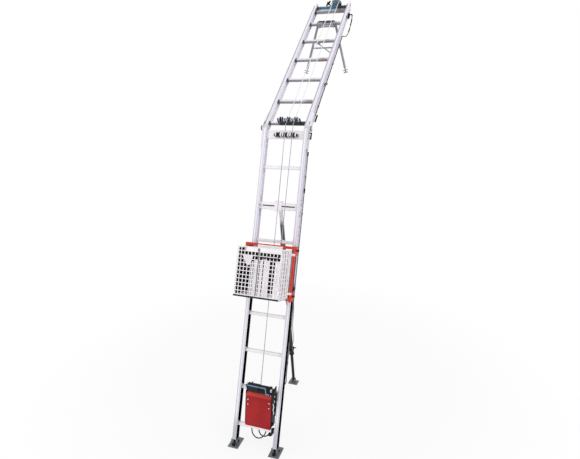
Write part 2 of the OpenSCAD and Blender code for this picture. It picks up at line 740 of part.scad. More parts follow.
module wheel_top_right() color(dark) lower_frame() wheel(1, wheel_top_at, wheel_n, wheel_diameter);

module wheel_low_left() color(dark) lower_frame() wheel(-1, wheel_low_at, wheel_n, wheel_diameter);

module wheel_low_right() color(dark) lower_frame() wheel(1, wheel_low_at, wheel_n, wheel_diameter);

module counter_wheels() color(dark) lower_frame() for (side = [-1, 1]) for (at = [wheel_low_at, wheel_top_at])
    wheel(side, at, counter_n, counter_diameter);

// A flat mesh panel drawn from the corner, with a solid edge and square openings
module mesh_outline(wide, high, columns, rows) {
    difference() {
        square([wide, high]);
        step_x = (wide - 2 * panel_edge + wire_width) / columns;
        step_y = (high - 2 * panel_edge + wire_width) / rows;
        for (i = [0 : columns - 1]) for (j = [0 : rows - 1])
            translate([panel_edge + i * step_x, panel_edge + j * step_y]) square([step_x - wire_width,
                step_y - wire_width]);
    }
}

module basket_floor() color(steel) lower_frame() along_ladder(basket_at, basket_at + 8)
    translate([-basket_width / 2 + panel_sheet, -basket_front_n + panel_sheet])
        mesh_outline(basket_width - 2 * panel_sheet, basket_depth - 2 * panel_sheet, mesh_cells,
            round(mesh_cells * basket_depth / basket_width));

module basket_back() color(steel) lower_frame() {
    translate([-basket_width / 2, basket_at, basket_back_n]) linear_extrude(panel_sheet)
        mesh_outline(basket_width, basket_height, mesh_cells, mesh_cells);
    for (side = [-1, 1]) for (at = [basket_at + 36, basket_at + basket_height - 48]) {
        x = side * (side_outer - 3);
        block([min(x, side * (rail_x - 20)), at, bar_n + bar_size / 2],
            [max(x, side * (rail_x - 20)), at + 20, basket_back_n]);
    }
}

// One side of the basket with its front post and the gate's hinge pins
module basket_side(side) {
    mid = side * (basket_width / 2 - panel_sheet / 2);
    across(mid - panel_sheet / 2, mid + panel_sheet / 2) translate([basket_at, basket_back_n + panel_sheet])
        mesh_outline(basket_height, basket_depth - 2 * panel_sheet, mesh_cells,
            round(mesh_cells * basket_depth / basket_width));
    for (at = [knuckle_low_at, knuckle_top_at]) {
        block([mid - panel_sheet / 2, at - 12, basket_front_n - panel_sheet - 2],
            [mid + panel_sheet / 2, at - side_gap, gate_axis_n]);
        pin_y(side * gate_axis_x, gate_axis_n, at - 12, at - side_gap, 2 * knuckle_radius);
        pin_y(side * gate_axis_x, gate_axis_n, at - 6, at + knuckle_height + 6, gate_pin);
    }
}

module basket_left() color(steel) lower_frame() basket_side(-1);

module basket_right() color(steel) lower_frame() basket_side(1);

// One leaf of the basket's front gate
module gate(side) {
    wide = gate_axis_x - gate_gap / 2;
    difference() {
        union() {
            translate([side < 0 ? -gate_axis_x : gate_gap / 2, basket_at + 14, gate_axis_n - panel_sheet / 2])
                linear_extrude(panel_sheet) mesh_outline(wide, basket_height - 14, mesh_cells / 2, mesh_cells);
            for (at = [knuckle_low_at, knuckle_top_at])
                pin_y(side * gate_axis_x, gate_axis_n, at, at + knuckle_height, 2 * knuckle_radius);
            pin_z(side * 16, basket_at + basket_height * 0.55, gate_axis_n, gate_axis_n + 14, 10);
        }
        for (at = [knuckle_low_at, knuckle_top_at]) {
            pin_y(side * gate_axis_x, gate_axis_n, at - 13, at + knuckle_height + 8, gate_pin + 2 * pin_gap);
            difference() {
                pin_y(side * gate_axis_x, gate_axis_n, at - 14, at, 2 * knuckle_radius + 3);
                pin_y(side * gate_axis_x, gate_axis_n, at - 15, at + 1, gate_pin);
            }
            pin_y(side * gate_axis_x, gate_axis_n, at + knuckle_height, at + knuckle_height + 8, gate_pin + 3);
        }
    }
}

module gate_left() color(steel) lower_frame() gate(-1);

module gate_right() color(steel) lower_frame() gate(1);

module upper_rails() color(aluminium) upper_frame() difference() {
    union() {
        for (side = [-1, 1]) translate([side * rail_x, 0, mid_depth]) along_ladder(0, eye_at - mid_depth) rail_outline();
        for (side = [-1, 1]) across(side * rail_x - eye_sheet / 2, side * rail_x + eye_sheet / 2) {
            translate([eye_at, 0]) circle(d = rail_depth);
            translate([eye_at - mid_depth, -mid_depth]) square([mid_depth, rail_depth]);
        }
        for (side = [-1, 1]) {
            mid = side * (rail_outer + 3 + running_gap);
            across(mid - 3 - running_gap, mid + 3 + running_gap) translate([knee_plate - 120, -mid_depth])
                square([120, rail_depth]);
            far = side * (rail_outer + 6 + 2 * running_gap + 3);
            across(far - 3, far + 3) {
                circle(d = rail_depth);
                translate([0, -mid_depth]) square([knee_plate, rail_depth]);
            }
        }
    }
    for (side = [-1, 1]) {
        pin_x(side * rail_x - rail_width / 2 - 1, side * rail_x + rail_width / 2, 0, 0, 2 * hub_radius + 2 * hub_gap);
        pin_x(side * rail_x - 50, side * rail_x + 50, 0, 0, 16 + 2 * running_gap);
        pin_x(side * rail_x - 20, side * rail_x + 20, eye_at, 0, 26);
        block([side * rail_x - rail_width / 2 - 1, -1, -mid_depth - 1],
            [side * rail_x + rail_width / 2, knee_cut, -mid_depth + rail_wall + 1]);
    }
}

module upper_rungs() color(aluminium) upper_frame() {
    for (k = [0 : 4]) translate([0, 0, mid_depth]) rung(upper_first + k * rung_pitch);
    translate([0, 0, mid_depth]) rung(upper_bar_at);
    across(-web_inner, web_inner) translate([top_bar_at, 0]) tube_outline(rung_size + 6, rung_wall);
}

module upper_pulley_bracket() color(steel) upper_frame()
    pulley_bracket(upper_pulley_at, rung_front + mid_depth, pulley_n + mid_depth);

module upper_pulley_1() color(dark) upper_frame() pulley(pulley_x[0], upper_pulley_at, pulley_n + mid_depth);

module upper_pulley_2() color(dark) upper_frame() pulley(pulley_x[1], upper_pulley_at, pulley_n + mid_depth);

module upper_pulley_3() color(dark) upper_frame() pulley(pulley_x[2], upper_pulley_at, pulley_n + mid_depth);

module head_frame() color(blue) upper_frame() {
    n = rope_n + mid_depth;
    below = n - sheave_width / 2 - 2;
    above = n + sheave_width / 2 + 2;
    reach = rail_x - eye_sheet / 2;
    difference() {
        pin_x(-reach, reach, sheave_at, 0, 34);
        pin_x(-reach - 1, reach + 1, sheave_at, 0, 26);
    }
    for (side = [-1, 1]) {
        for (x = [side * clamp_x - 14, side * clamp_x + 10]) {
            block([x, clamp_at - 8, 13], [x + 4, sheave_at + 4, 24]);
            pin_x(x, x + 4, clamp_at, clamp_n, 20);
        }
        pin_x(side * clamp_x - 14, side * clamp_x + 14, clamp_at, clamp_n, clamp_pin);
    }
    difference() {
        union() {
            block([sheave_x - 52, sheave_at - 30, 10], [sheave_x + 52, sheave_at + 30, below]);
            block([sheave_x - 24, sheave_at - 24, above], [sheave_x + 24, sheave_at + 62, above + 6]);
            block([sheave_x - 24, sheave_at + 54, 0], [sheave_x + 24, sheave_at + 62, above]);
            block([sheave_x - 24, sheave_at + 20, below - 8], [sheave_x + 24, sheave_at + 62, below]);
        }
        block([rope_fall_x + 14, sheave_at - 31, below - 6], [rope_fall_x + 30, sheave_at + 31, below + 1]);
    }
    pin_z(sheave_x, sheave_at, below - 2, above + 12, 16);
}

module head_sheave() color(grey) upper_frame() translate([sheave_x, sheave_at, rope_n + mid_depth]) rotate_extrude()
    polygon([[8 + pin_gap, -sheave_width / 2], [sheave_radius, -sheave_width / 2], [sheave_radius, -sheave_width / 2 + 3],
        [sheave_groove, -4], [sheave_groove, 4], [sheave_radius, sheave_width / 2 - 3],
        [sheave_radius, sheave_width / 2], [8 + pin_gap, sheave_width / 2]]);

// A clamp lever that holds the head to one rail
module clamp(side) {
    translate([side * clamp_x, clamp_at, clamp_n]) {
        difference() {
            pin_x(-9, 9, 0, 0, 26);
            pin_x(-10, 10, 0, 0, clamp_pin + 2 * pin_gap);
        }
        rod([0, -10, 4.2], [side * -4, -62, 26], 14);
        translate([side * -4, -62, 26]) sphere(d = 24);
    }
}

module clamp_left() color(dark) upper_frame() clamp(-1);

module clamp_right() color(dark) upper_frame() clamp(1);

module limit_switch() color(dark) upper_frame() {
    block([rail_outer, limit_at - 24, -mid_depth], [rail_outer + 16, limit_at + 30, 8]);
    pin_x(rail_outer + 15, rail_outer + 24, limit_at + 14, -6, 18);
    x = rail_outer + 6;
    n = -mid_depth + 4;
    rod([x, 190, n], [x, upper_first + 3.4 * rung_pitch, n], limit_diameter);
    for (k = [0 : 3]) pin_y(x, n, 330 + k * rung_pitch, 350 + k * rung_pitch, 12);
}

module roof_bracket() color(grey) upper_frame() {
    at = upper_top_rung;
    half = leg_top_width / 2 - 4;
    face = rung_front + mid_depth;
    back = rung_back + mid_depth;
    block([-half, at - 30, face], [half, at + 26, face + 6]);
    for (y = [at - 26, at - 10, at + 6]) block([-half, y, face + 5], [half, y + 6, face + 9]);
    for (side = [-1, 1]) difference() {
        x = side * (leg_top_width / 2 - 26);
        union() {
            block([x - 6, at - rung_size / 2 - 12, back], [x + 6, at - rung_size / 2, face + 1]);
            block([x - 6, at - rung_size / 2 - 12, support_z], [x + 6, at + 12, back]);
            pin_x(x - 6, x + 6, at, support_z, 26);
        }
        pin_x(x - 7, x + 7, at, support_z, support_pin + 2 * pin_gap);
    }
    lower = upper_first + 3 * rung_pitch;
    block([-34, lower - 22, back - 8], [6, lower + 12, back]);
    rod([-14, lower - 8, back - 12], [rail_inner - 2, lower - 200, back - 12], 12);
    block([rail_inner - 12, lower - 212, back - 15], [web_inner, lower - 190, back - 7]);
}

// Places one leg of the roof support, with the leg running down local z
module leg_frame(side) {
    pivot_y = knee_y + upper_top_rung * cos(upper_tilt) - support_z * sin(upper_tilt) - box_middle_y;
    pivot_z = knee_z + upper_top_rung * sin(upper_tilt) + support_z * cos(upper_tilt);
    translate([side * leg_top_width / 2, pivot_y, pivot_z]) rotate([0, -side * leg_splay, 0]) children();
}

module roof_support() color(steel) {
    pivot_y = knee_y + upper_top_rung * cos(upper_tilt) - support_z * sin(upper_tilt) - box_middle_y;
    pivot_z = knee_z + upper_top_rung * sin(upper_tilt) + support_z * cos(upper_tilt);
    translate([0, pivot_y, pivot_z]) {
        pin_x(-leg_top_width / 2, leg_top_width / 2, 0, 0, support_pin);
        middle = (leg_top_width + leg_end_width) / 4;
        rod([-middle, 0, -leg_length / 2], [middle, 0, -leg_length / 2], 16);
    }
    for (side = [-1, 1]) leg_frame(side) difference() {
        translate([0, 0, -leg_long]) cylinder(h = leg_long + 10, d = leg_tube);
        translate([0, 0, -leg_long - 1]) cylinder(h = 121, d = leg_screw + 2 * pin_gap);
    }
}

// A screw foot at the end of one roof support leg
module roof_foot(side) {
    leg_frame(side) {
        translate([0, 0, -leg_long - 44]) cylinder(h = 114, d = leg_screw);
        translate([0, 0, -leg_long - 52]) cylinder(h = 10, d = 46);
        pin_x(-30, 30, 0, -leg_long - 22, 8);
    }
}

module roof_foot_left() color(dark) roof_foot(-1);

module roof_foot_right() color(dark) roof_foot(1);

module power_lead() color(dark) translate([0, -box_middle_y, 0]) lead(lead_points, lead_diameter, lead_sides);

module lead_plug() color(dark) translate([0, -box_middle_y, 0]) {
    start = lead_points[len(lead_points) - 1];
    turn = start - lead_points[len(lead_points) - 2];
    way = turn / norm(turn);
    rod(start, start + way * 20, 18);
    rod(start + way * 18, start + way * plug_length, 34);
}

module limit_lead() color(dark) translate([0, -box_middle_y, 0]) lead(limit_points, limit_diameter, lead_sides);

module stay_rope() color(grey) translate([0, -box_middle_y, 0]) lead(stay_points, stay_diameter, lead_sides);

base_rails();
knee_rails();
lower_rungs();
joint_splices();
knee_plates();
knee_pins();
lower_pulley_bracket();
prop_clamp();
winch_chassis();
winch_cover();
winch_screws();
drum_guard();
gear_motor();
control_box();
rope_up();
limit_cable();
foot_left();
foot_right();
prop_tube();
prop_screw();
prop_leg();
prop_foot();
rope_drum();
lower_pulley_1();
lower_pulley_2();
lower_pulley_3();
carriage_frame();
wheel_top_left();
wheel_top_right();
wheel_low_left();
wheel_low_right();
counter_wheels();
basket_floor();
basket_back();
basket_left();
basket_right();
gate_left();
gate_right();
rope_fall();
rope_knee();
upper_rails();
upper_rungs();
upper_pulley_bracket();
upper_pulley_1();
upper_pulley_2();
upper_pulley_3();
rope_upper();
head_frame();
head_sheave();
clamp_left();
clamp_right();
limit_switch();
roof_bracket();
roof_support();
roof_foot_left();
roof_foot_right();
power_lead();
lead_plug();
limit_lead();
stay_rope();
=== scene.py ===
"""Looks of the material hoist: its finishes, wire basket, rope, leads and the studio around it.

Lengths inside the classes are millimetres in a sub-assembly's own frame: x across the ladder, y along it and
z out of its front. Meshes are in metres.
"""
import json
import logging
import math
from dataclasses import dataclass, field
from enum import Enum
from typing import Any, Sequence

import bmesh
import bpy
from mathutils import Matrix, Vector


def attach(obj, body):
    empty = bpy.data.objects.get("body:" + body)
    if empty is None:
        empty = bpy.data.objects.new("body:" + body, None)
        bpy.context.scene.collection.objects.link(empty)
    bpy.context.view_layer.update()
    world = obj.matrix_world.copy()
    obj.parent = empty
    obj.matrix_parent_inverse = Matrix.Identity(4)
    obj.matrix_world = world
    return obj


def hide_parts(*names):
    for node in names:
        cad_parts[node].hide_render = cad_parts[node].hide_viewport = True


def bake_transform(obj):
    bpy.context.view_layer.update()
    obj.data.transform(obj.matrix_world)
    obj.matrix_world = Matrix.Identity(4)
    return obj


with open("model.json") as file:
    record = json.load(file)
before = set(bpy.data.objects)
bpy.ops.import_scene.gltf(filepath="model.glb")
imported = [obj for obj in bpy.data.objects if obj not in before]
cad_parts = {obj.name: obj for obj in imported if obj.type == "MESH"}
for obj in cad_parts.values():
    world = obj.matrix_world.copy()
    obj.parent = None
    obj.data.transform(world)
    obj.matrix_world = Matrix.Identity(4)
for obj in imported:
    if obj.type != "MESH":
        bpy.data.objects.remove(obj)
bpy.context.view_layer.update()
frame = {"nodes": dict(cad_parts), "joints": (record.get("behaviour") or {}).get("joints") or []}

LOG = logging.getLogger("hoist")
MM = 0.001
Point = Sequence[float]
Box = tuple[Point, Point]
Outline = tuple[tuple[float, float], ...]

SIDES = (("left", -1), ("right", 1))
KNEE_AT = 2904.0
RAIL_X = 194.0
RAIL_WIDTH = 36.0
RAIL_DEPTH = 70.0
RAIL_WALL = 5.0
RAIL_OUTER = RAIL_X + RAIL_WIDTH / 2
MID_DEPTH = RAIL_DEPTH / 2
RUNG_PITCH = 333.0
FIRST_RUNG = 210.0
RUNG_SIZE = 30.0
WINCH_RUNG = FIRST_RUNG + RUNG_PITCH
JOINT_AT = FIRST_RUNG + 6 * RUNG_PITCH - 16
WINCH_LEAN = 9.5
WINCH_SHIFT = 13.6
WINCH_FORWARD = 38.0
DRUM_AT = (46.0, 40.0)
PULLEY_AT = 2832.0
PULLEY_OUT = 14.0
UPPER_PULLEY_AT = 64.0
UPPER_PULLEY_OUT = PULLEY_OUT + MID_DEPTH
SHARP_ANGLE = math.radians(38)
BUMP_STRENGTH = 0.35
TONE_EDGES = (0.35, 0.65)
FACING_EDGES = (0.65, 0.75)


class Slot(Enum):
    """Material slots of the record."""

    ALUMINIUM = "aluminium"
    GALVANISED = "galvanised"
    ROPE = "rope_steel"
    RED = "red_paint"
    BLUE = "blue_paint"
    GREY = "grey_paint"
    BLACK = "black_paint"
    PLASTIC = "black_plastic"
    CHROME = "chrome"
    LEAD = "lead_rubber"
    STAY = "stay_grey"


class Body(Enum):
    """Bodies of the record that carry extra pieces."""

    LOWER = "lower_ladder"
    UPPER = "upper_ladder"
    PROP = "prop"
    CARRIAGE = "carriage"
    DRUM = "drum"
    LEFT_GATE = "left_gate"
    RIGHT_GATE = "right_gate"


class Axis(Enum):
    """Direction that a turned part's own axis takes in its frame."""

    X = Matrix.Rotation(math.pi / 2, 4, "Y")
    Y = Matrix.Rotation(-math.pi / 2, 4, "X")
    Z = Matrix.Identity(4)


@dataclass(frozen=True)
class Frames:
    """The frames of the sub-assemblies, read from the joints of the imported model."""

    lower: Matrix
    upper: Matrix
    winch: Matrix
    prop: Matrix

    @classmethod
    def from_joints(cls, joints: list[dict[str, Any]]) -> "Frames":
        """Works the frames out.

        Args:
            joints: The record's joints.

        Returns:
            The four frames, with translations in metres.
        """
        found = {joint["name"]: joint for joint in joints}
        along = Vector(found["carriage_slide"]["axis"])
        out = Vector(found["head_sheave_spin"]["axis"])
        down = Vector(found["prop_extend"]["axis"])
        knee = Vector(found["knee_fold"]["pos_m"])
        turn = Matrix.Rotation(math.atan2(along.z, along.y), 4, "X")
        start = knee - turn @ Vector((0, KNEE_AT * MM, -MID_DEPTH * MM))
        lower = Matrix.Translation(start) @ turn
        upper = Matrix.Translation(knee) @ Matrix.Rotation(math.atan2(-out.y, out.z), 4, "X")
        seat = Matrix.Translation(Vector((WINCH_SHIFT, WINCH_RUNG, -MID_DEPTH)) * MM)
        lean = Matrix.Rotation(math.radians(WINCH_LEAN), 4, "X")
        winch = lower @ seat @ lean @ Matrix.Translation((0, 0, WINCH_FORWARD * MM))
        top = Matrix.Translation(Vector(found["prop_swing"]["pos_m"]))
        prop = top @ Matrix.Rotation(math.atan2(down.y, -down.z), 4, "X")
        return cls(lower, upper, winch, prop)


FRAMES = Frames.from_joints(frame["joints"])


def srgb(code: str) -> tuple[float, float, float, float]:
    """Turns a hex colour into Blender's linear values.

    Args:
        code: Six hex digits after a hash sign.

    Returns:
        Linear red, green, blue and an opaque alpha.
    """
    values = [int(code[k:k + 2], 16) / 255 for k in (1, 3, 5)]
    linear = [v / 12.92 if v <= 0.04045 else ((v + 0.055) / 1.055) ** 2.4 for v in values]
    return linear[0], linear[1], linear[2], 1.0


def feed(tree: Any, node: Any, inputs: dict[Any, Any]) -> None:
    """Sets or links a node's inputs.

    Args:
        tree: The node tree.
        node: One of its nodes.
        inputs: Values, sockets or lists of sockets, by the input's name or number.
    """
    for key, value in inputs.items():
        for source in value if isinstance(value, list) else [value]:
            if isinstance(source, bpy.types.NodeSocket):
                tree.links.new(source, node.inputs[key])
            else:
                node.inputs[key].default_value = source


def add_node(tree: Any, kind: str, inputs: dict[Any, Any] | None = None, **settings: Any) -> Any:
    """Adds a node with its settings, values and links.

    Args:
        tree: The node tree.
        kind: Blender's name of the node type.
        inputs: What feed gives to the node's inputs.
        settings: Properties of the node itself.

    Returns:
        The new node's outputs.
    """
    node = tree.nodes.new(kind)
    for name, value in settings.items():
        setattr(node, name, value)
    feed(tree, node, inputs or {})
    return node.outputs


@dataclass(frozen=True)
class Finish:
    """A surface: two close tones in soft patches, a little grit, and the gloss of its material."""

    name: str
    light: str
    shade: str
    metallic: float = 0.0
    roughness: float = 0.5
    spread: float = 0.12
    patch: float = 60.0
    grit: float = 4.0
    relief: float = 0.12
    coat: float = 0.0
    stretch: tuple[float, float, float] = (1.0, 1.0, 1.0)
    place: Matrix = field(default_factory=lambda: Matrix.Identity(4))
    specular: float = 0.5

    def build(self) -> bpy.types.Material:
        """Makes the material, or gives the one made before."""
        known = bpy.data.materials.get(self.name)
        if known:
            return known
        material = bpy.data.materials.new(self.name)
        material.use_nodes = True
        tree = material.node_tree
        coords = add_node(tree, "ShaderNodeMapping", {"Vector": self.local(tree), "Scale": self.stretch})[0]
        fine = add_node(tree, "ShaderNodeTexNoise", {
            "Vector": coords, "Scale": 1 / (self.grit * MM), "Detail": 3.0})[0]
        gloss = add_node(tree, "ShaderNodeMapRange", {
            0: fine, 3: self.roughness - self.spread, 4: self.roughness + self.spread})[0]
        bump = add_node(tree, "ShaderNodeBump", {
            "Height": fine, "Strength": BUMP_STRENGTH, "Distance": self.relief * MM})[0]
        feed(tree, tree.nodes["Principled BSDF"], {
            "Base Color": self.colour(tree, coords), "Roughness": gloss, "Normal": bump,
            "Metallic": self.metal(tree), "Coat Weight": self.coat, "Specular IOR Level": self.specular})
        return material

    def metal(self, tree: Any) -> Any:
        """Gives how metallic the surface is, as a value or a socket of the tree."""
        return self.metallic

    def local(self, tree: Any) -> Any:
        """Gives Object coordinates in the piece's own frame.

        Args:
            tree: The material's node tree.

        Returns:
            A vector socket in metres.
        """
        back = self.place.inverted()
        source = add_node(tree, "ShaderNodeTexCoord")["Object"]
        return add_node(tree, "ShaderNodeMapping", {
            "Vector": source, "Rotation": back.to_euler(), "Location": back.translation})[0]

    def colour(self, tree: Any, coords: Any) -> Any:
        """Mixes the two tones in soft patches.

        Args:
            tree: The material's node tree.
            coords: The pattern's coordinates.

        Returns:
            A colour socket.
        """
        noise = add_node(tree, "ShaderNodeTexNoise", {
            "Vector": coords, "Scale": 1 / (self.patch * MM), "Detail": 4.0})[0]
        step = add_node(tree, "ShaderNodeMapRange", {0: noise, 1: TONE_EDGES[0], 2: TONE_EDGES[1]})[0]
        return self.lay(tree, srgb(self.light), self.shade, step)

    def lay(self, tree: Any, below: Any, tone: Any, *masks: Any) -> Any:
        """Lays a tone over a colour where every mask shows it.

        Args:
            tree: The material's node tree.
            below: The colour so far, a value or a socket.
            tone: The colour on top, a hex code or a socket.
            masks: Value sockets between zero and one.

        Returns:
            A colour socket.
        """
        share = masks[0]
        for mask in masks[1:]:
            share = add_node(tree, "ShaderNodeMath", {0: share, 1: mask}, operation="MULTIPLY")[0]
        top = srgb(tone) if isinstance(tone, str) else tone
        return add_node(tree, "ShaderNodeMix", {0: share, 6: below, 7: top}, data_type="RGBA")[2]

    def window(self, tree: Any, value: Any, low: float, high: float, soft: float) -> Any:
        """Gives one inside a range of a length and zero outside it.

        Args:
            tree: The material's node tree.
            value: The socket to test, in metres.
            low: Where the window starts.
            high: Where the window ends.
            soft: Half the width of each edge.

        Returns:
            A value socket.
        """
        rise = add_node(tree, "ShaderNodeMapRange", {0: value, 1: (low - soft) * MM, 2: (low + soft) * MM})[0]
        fall = add_node(tree, "ShaderNodeMapRange", {
            0: value, 1: (high - soft) * MM, 2: (high + soft) * MM, 3: 1.0, 4: 0.0})[0]
        return add_node(tree, "ShaderNodeMath", {0: rise, 1: fall}, operation="MULTIPLY")[0]

    def facing(self, tree: Any, direction: Point) -> Any:
        """Gives one on the faces that look along a direction of the piece's own frame.

        Args:
            tree: The material's node tree.
            direction: A unit vector.

        Returns:
            A value socket.
        """
        normal = add_node(tree, "ShaderNodeNewGeometry")["True Normal"]
        way = tuple(self.place.to_3x3() @ Vector(direction))
        dot = add_node(tree, "ShaderNodeVectorMath", {0: normal, 1: way}, operation="DOT_PRODUCT")["Value"]
        return add_node(tree, "ShaderNodeMapRange", {0: dot, 1: FACING_EDGES[0], 2: FACING_EDGES[1]})[0]


@dataclass(frozen=True)
class Extrusion(Finish):
    """Extruded aluminium with the shade of two shallow grooves painted along each rail's front."""

    # Painted shade: a darker line for each shallow groove on the rail's front.
    groove_shade: str = "#B3B0BF"
    groove_at: tuple[float, float] = (9.0, 13.0)

    def colour(self, tree: Any, coords: Any) -> Any:
        """Adds the grooves' painted shade to the extruded metal; see Finish.colour for Args and Returns."""
        reach = add_node(tree, "ShaderNodeMath", {0: self.across(tree)}, operation="ABSOLUTE")[0]
        line = self.window(tree, reach, *self.groove_at, 0.8)
        return self.lay(tree, super().colour(tree, coords), self.groove_shade, line, self.front(tree))

    def across(self, tree: Any) -> Any:
        """Gives the distance to the right of the nearer rail's middle.

        Args:
            tree: The material's node tree.

        Returns:
            A value socket in metres.
        """
        x = add_node(tree, "ShaderNodeSeparateXYZ", {0: self.local(tree)})[0]
        side = add_node(tree, "ShaderNodeMath", {0: x}, operation="SIGN")[0]
        return add_node(tree, "ShaderNodeMath", {0: side, 1: -RAIL_X * MM, 2: x}, operation="MULTIPLY_ADD")[0]

    def front(self, tree: Any) -> Any:
        """Gives one on the faces that look out of the ladder's front, as a socket of the tree."""
        return self.facing(tree, (0, 0, 1))


@dataclass(frozen=True)
class ChannelShadeExtrusion(Extrusion):
    """Extruded aluminium with a dulled foot, and near-black painted shade in its channels up to a given
    height.
    """

    # Painted shade: near black in the rails' channels, up to a height along the rail.
    channel_shade: str = "#0E0E10"
    channel_shade_end: float = 1500.0
    dulled: str = "#BDBDC9"
    dulled_end: float = 250.0

    def mask(self, tree: Any) -> Any:
        """Gives one inside the rails' channels, where the dark shade is painted.

        Args:
            tree: The material's node tree.

        Returns:
            A value socket.
        """
        place = add_node(tree, "ShaderNodeSeparateXYZ", {0: self.local(tree)})
        low = self.window(tree, place[1], 0.0, self.channel_shade_end, 30.0)
        inside = self.window(tree, place[2], 1 - RAIL_DEPTH, -0.9 * RAIL_WALL, 0.5)
        return add_node(tree, "ShaderNodeMath", {0: low, 1: inside}, operation="MULTIPLY")[0]

    def colour(self, tree: Any, coords: Any) -> Any:
        """Adds the dulled foot and the painted channel shade to the metal; see Finish.colour for Args and
        Returns.
        """
        height = add_node(tree, "ShaderNodeSeparateXYZ", {0: self.local(tree)})[1]
        foot = self.window(tree, height, -1000.0, self.dulled_end, 60.0)
        metal = self.lay(tree, super().colour(tree, coords), self.dulled, foot)
        return self.lay(tree, metal, self.channel_shade, self.mask(tree))

    def metal(self, tree: Any) -> Any:
        """Takes the shine off the painted channel shade, as a socket of the tree."""
        return add_node(tree, "ShaderNodeMapRange", {0: self.mask(tree), 3: self.metallic, 4: 0.0})[0]


@dataclass(frozen=True)
class WornExtrusion(Extrusion):
    """Extruded aluminium with a duller grey-blue band on the left of its front, and short rusty red scuffs on
    it.
    """

    scuff: str = "#C87A5E"
    dulled: str = "#A7ACBB"
    dull_band: tuple[float, float] = (-19.0, -5.0)
    scuff_length: float = 46.0
    scuff_width: float = 200.0
    scuff_edges: tuple[float, float] = (0.58, 0.64)
    scuff_share: float = 0.65

    def colour(self, tree: Any, coords: Any) -> Any:
        """Adds the band and its scuffs to the metal; see Finish.colour for Args and Returns."""
        flat = add_node(tree, "ShaderNodeMapping", {
            "Vector": self.local(tree),
            "Scale": (1 / (self.scuff_width * MM), 1 / (self.scuff_length * MM), 0.0)})[0]
        noise = add_node(tree, "ShaderNodeTexNoise", {"Vector": flat, "Scale": 1.0, "Detail": 1.0})[0]
        spots = add_node(tree, "ShaderNodeMapRange", {
            0: noise, 1: self.scuff_edges[0], 2: self.scuff_edges[1], 4: self.scuff_share})[0]
        masks = (self.front(tree), self.window(tree, self.across(tree), *self.dull_band, 1.0))
        metal = self.lay(tree, super().colour(tree, coords), self.dulled, *masks)
        return self.lay(tree, metal, self.scuff, spots, *masks)


@dataclass(frozen=True)
class LightPaintedTube(Finish):
    """Rung tube: pale drawn metal, with painted shadow at its left end, painted shade on its underside,
    painted bluish and reddish reflections along its right third, and a dark band by the upper pulleys.
    """

    # Painted shadow at the left end, painted reflections in two tones, and painted shade on the underside.
    dark: str = "#55565B"
    reflection_tone: str = "#63707E"
    reddish_reflection: str = "#84605A"
    under: str = "#918F98"
    bar: str = "#1C232B"
    bar_at: tuple[float, float] = (47.0, 85.0)
    bar_span: tuple[float, float] = (-85.0, 200.0)
    reflection_span: tuple[float, float] = (70.0, 165.0)
    end_shadow_span: tuple[float, float] = (-200.0, -166.0)
    reflection_size: float = 90.0
    hue_edges: tuple[float, float] = (0.45, 0.55)
    reflection_edges: tuple[float, float] = (0.4, 0.6)
    reflection_shares: tuple[float, float] = (0.15, 0.7)

    def colour(self, tree: Any, coords: Any) -> Any:
        """Adds the painted shadow at the end, the painted shade below, the painted reflections and the dark
        band by the pulleys; see Finish.colour for Args and Returns.
        """
        local = self.local(tree)
        place = add_node(tree, "ShaderNodeSeparateXYZ", {0: local})
        noise = add_node(tree, "ShaderNodeTexNoise", {
            "Vector": local, "Scale": 1 / (self.reflection_size * MM), "Detail": 2.0})[0]
        hue = add_node(tree, "ShaderNodeMapRange", {0: noise, 1: self.hue_edges[0], 2: self.hue_edges[1]})[0]
        reflection_patches = add_node(tree, "ShaderNodeMapRange", {
            0: noise, **dict(enumerate((*self.reflection_edges, *self.reflection_shares), 1))})[0]
        # The bluish and reddish patches are painted reflections; the tone below is painted shade.
        reflection_tone = self.lay(tree, srgb(self.reflection_tone), self.reddish_reflection, hue)
        shade = self.lay(tree, super().colour(tree, coords), self.under, self.facing(tree, (0, -1, 0)))
        shade = self.lay(tree, shade, reflection_tone, self.window(tree, place[0], *self.reflection_span, 20.0), reflection_patches)
        shade = self.lay(tree, shade, self.dark, self.window(tree, place[0], *self.end_shadow_span, 4.0))
        return self.lay(tree, shade, self.bar, self.window(tree, place[1], *self.bar_at, 2.0),
                        self.window(tree, place[0], *self.bar_span, 10.0))


@dataclass(frozen=True)
class Spangle(Finish):
    """Hot-dip zinc: pale grey with flat crystal flakes about a centimetre across."""

    flake: float = 14.0
    flake_tone: str = "#AEB2B8"
    contrast: float = 0.2

    def colour(self, tree: Any, coords: Any) -> Any:
        """Tints each crystal a little; see Finish.colour for Args and Returns."""
        cells = add_node(tree, "ShaderNodeTexVoronoi", {
            "Vector": coords, "Scale": 1 / (self.flake * MM)})["Color"]
        tone = add_node(tree, "ShaderNodeSeparateColor", {0: cells})[0]
        share = add_node(tree, "ShaderNodeMapRange", {0: tone, 4: self.contrast})[0]
        return self.lay(tree, super().colour(tree, coords), self.flake_tone, share)


@dataclass(frozen=True)
class FoldedEnamel(Finish):
    """Enamel on a folded sheet, with painted light on the upper fold, which takes the most light."""

    # Painted light: the paler red of the upper fold.
    fold: str = "#CB453C"
    lit_fold_span: tuple[float, float] = (-36.0, 50.0)

    def colour(self, tree: Any, coords: Any) -> Any:
        """Paints light on the upper fold; see Finish.colour for Args and Returns."""
        height = add_node(tree, "ShaderNodeSeparateXYZ", {0: self.local(tree)})[1]
        share = self.window(tree, height, *self.lit_fold_span, 1.5)
        return self.lay(tree, super().colour(tree, coords), self.fold, share)


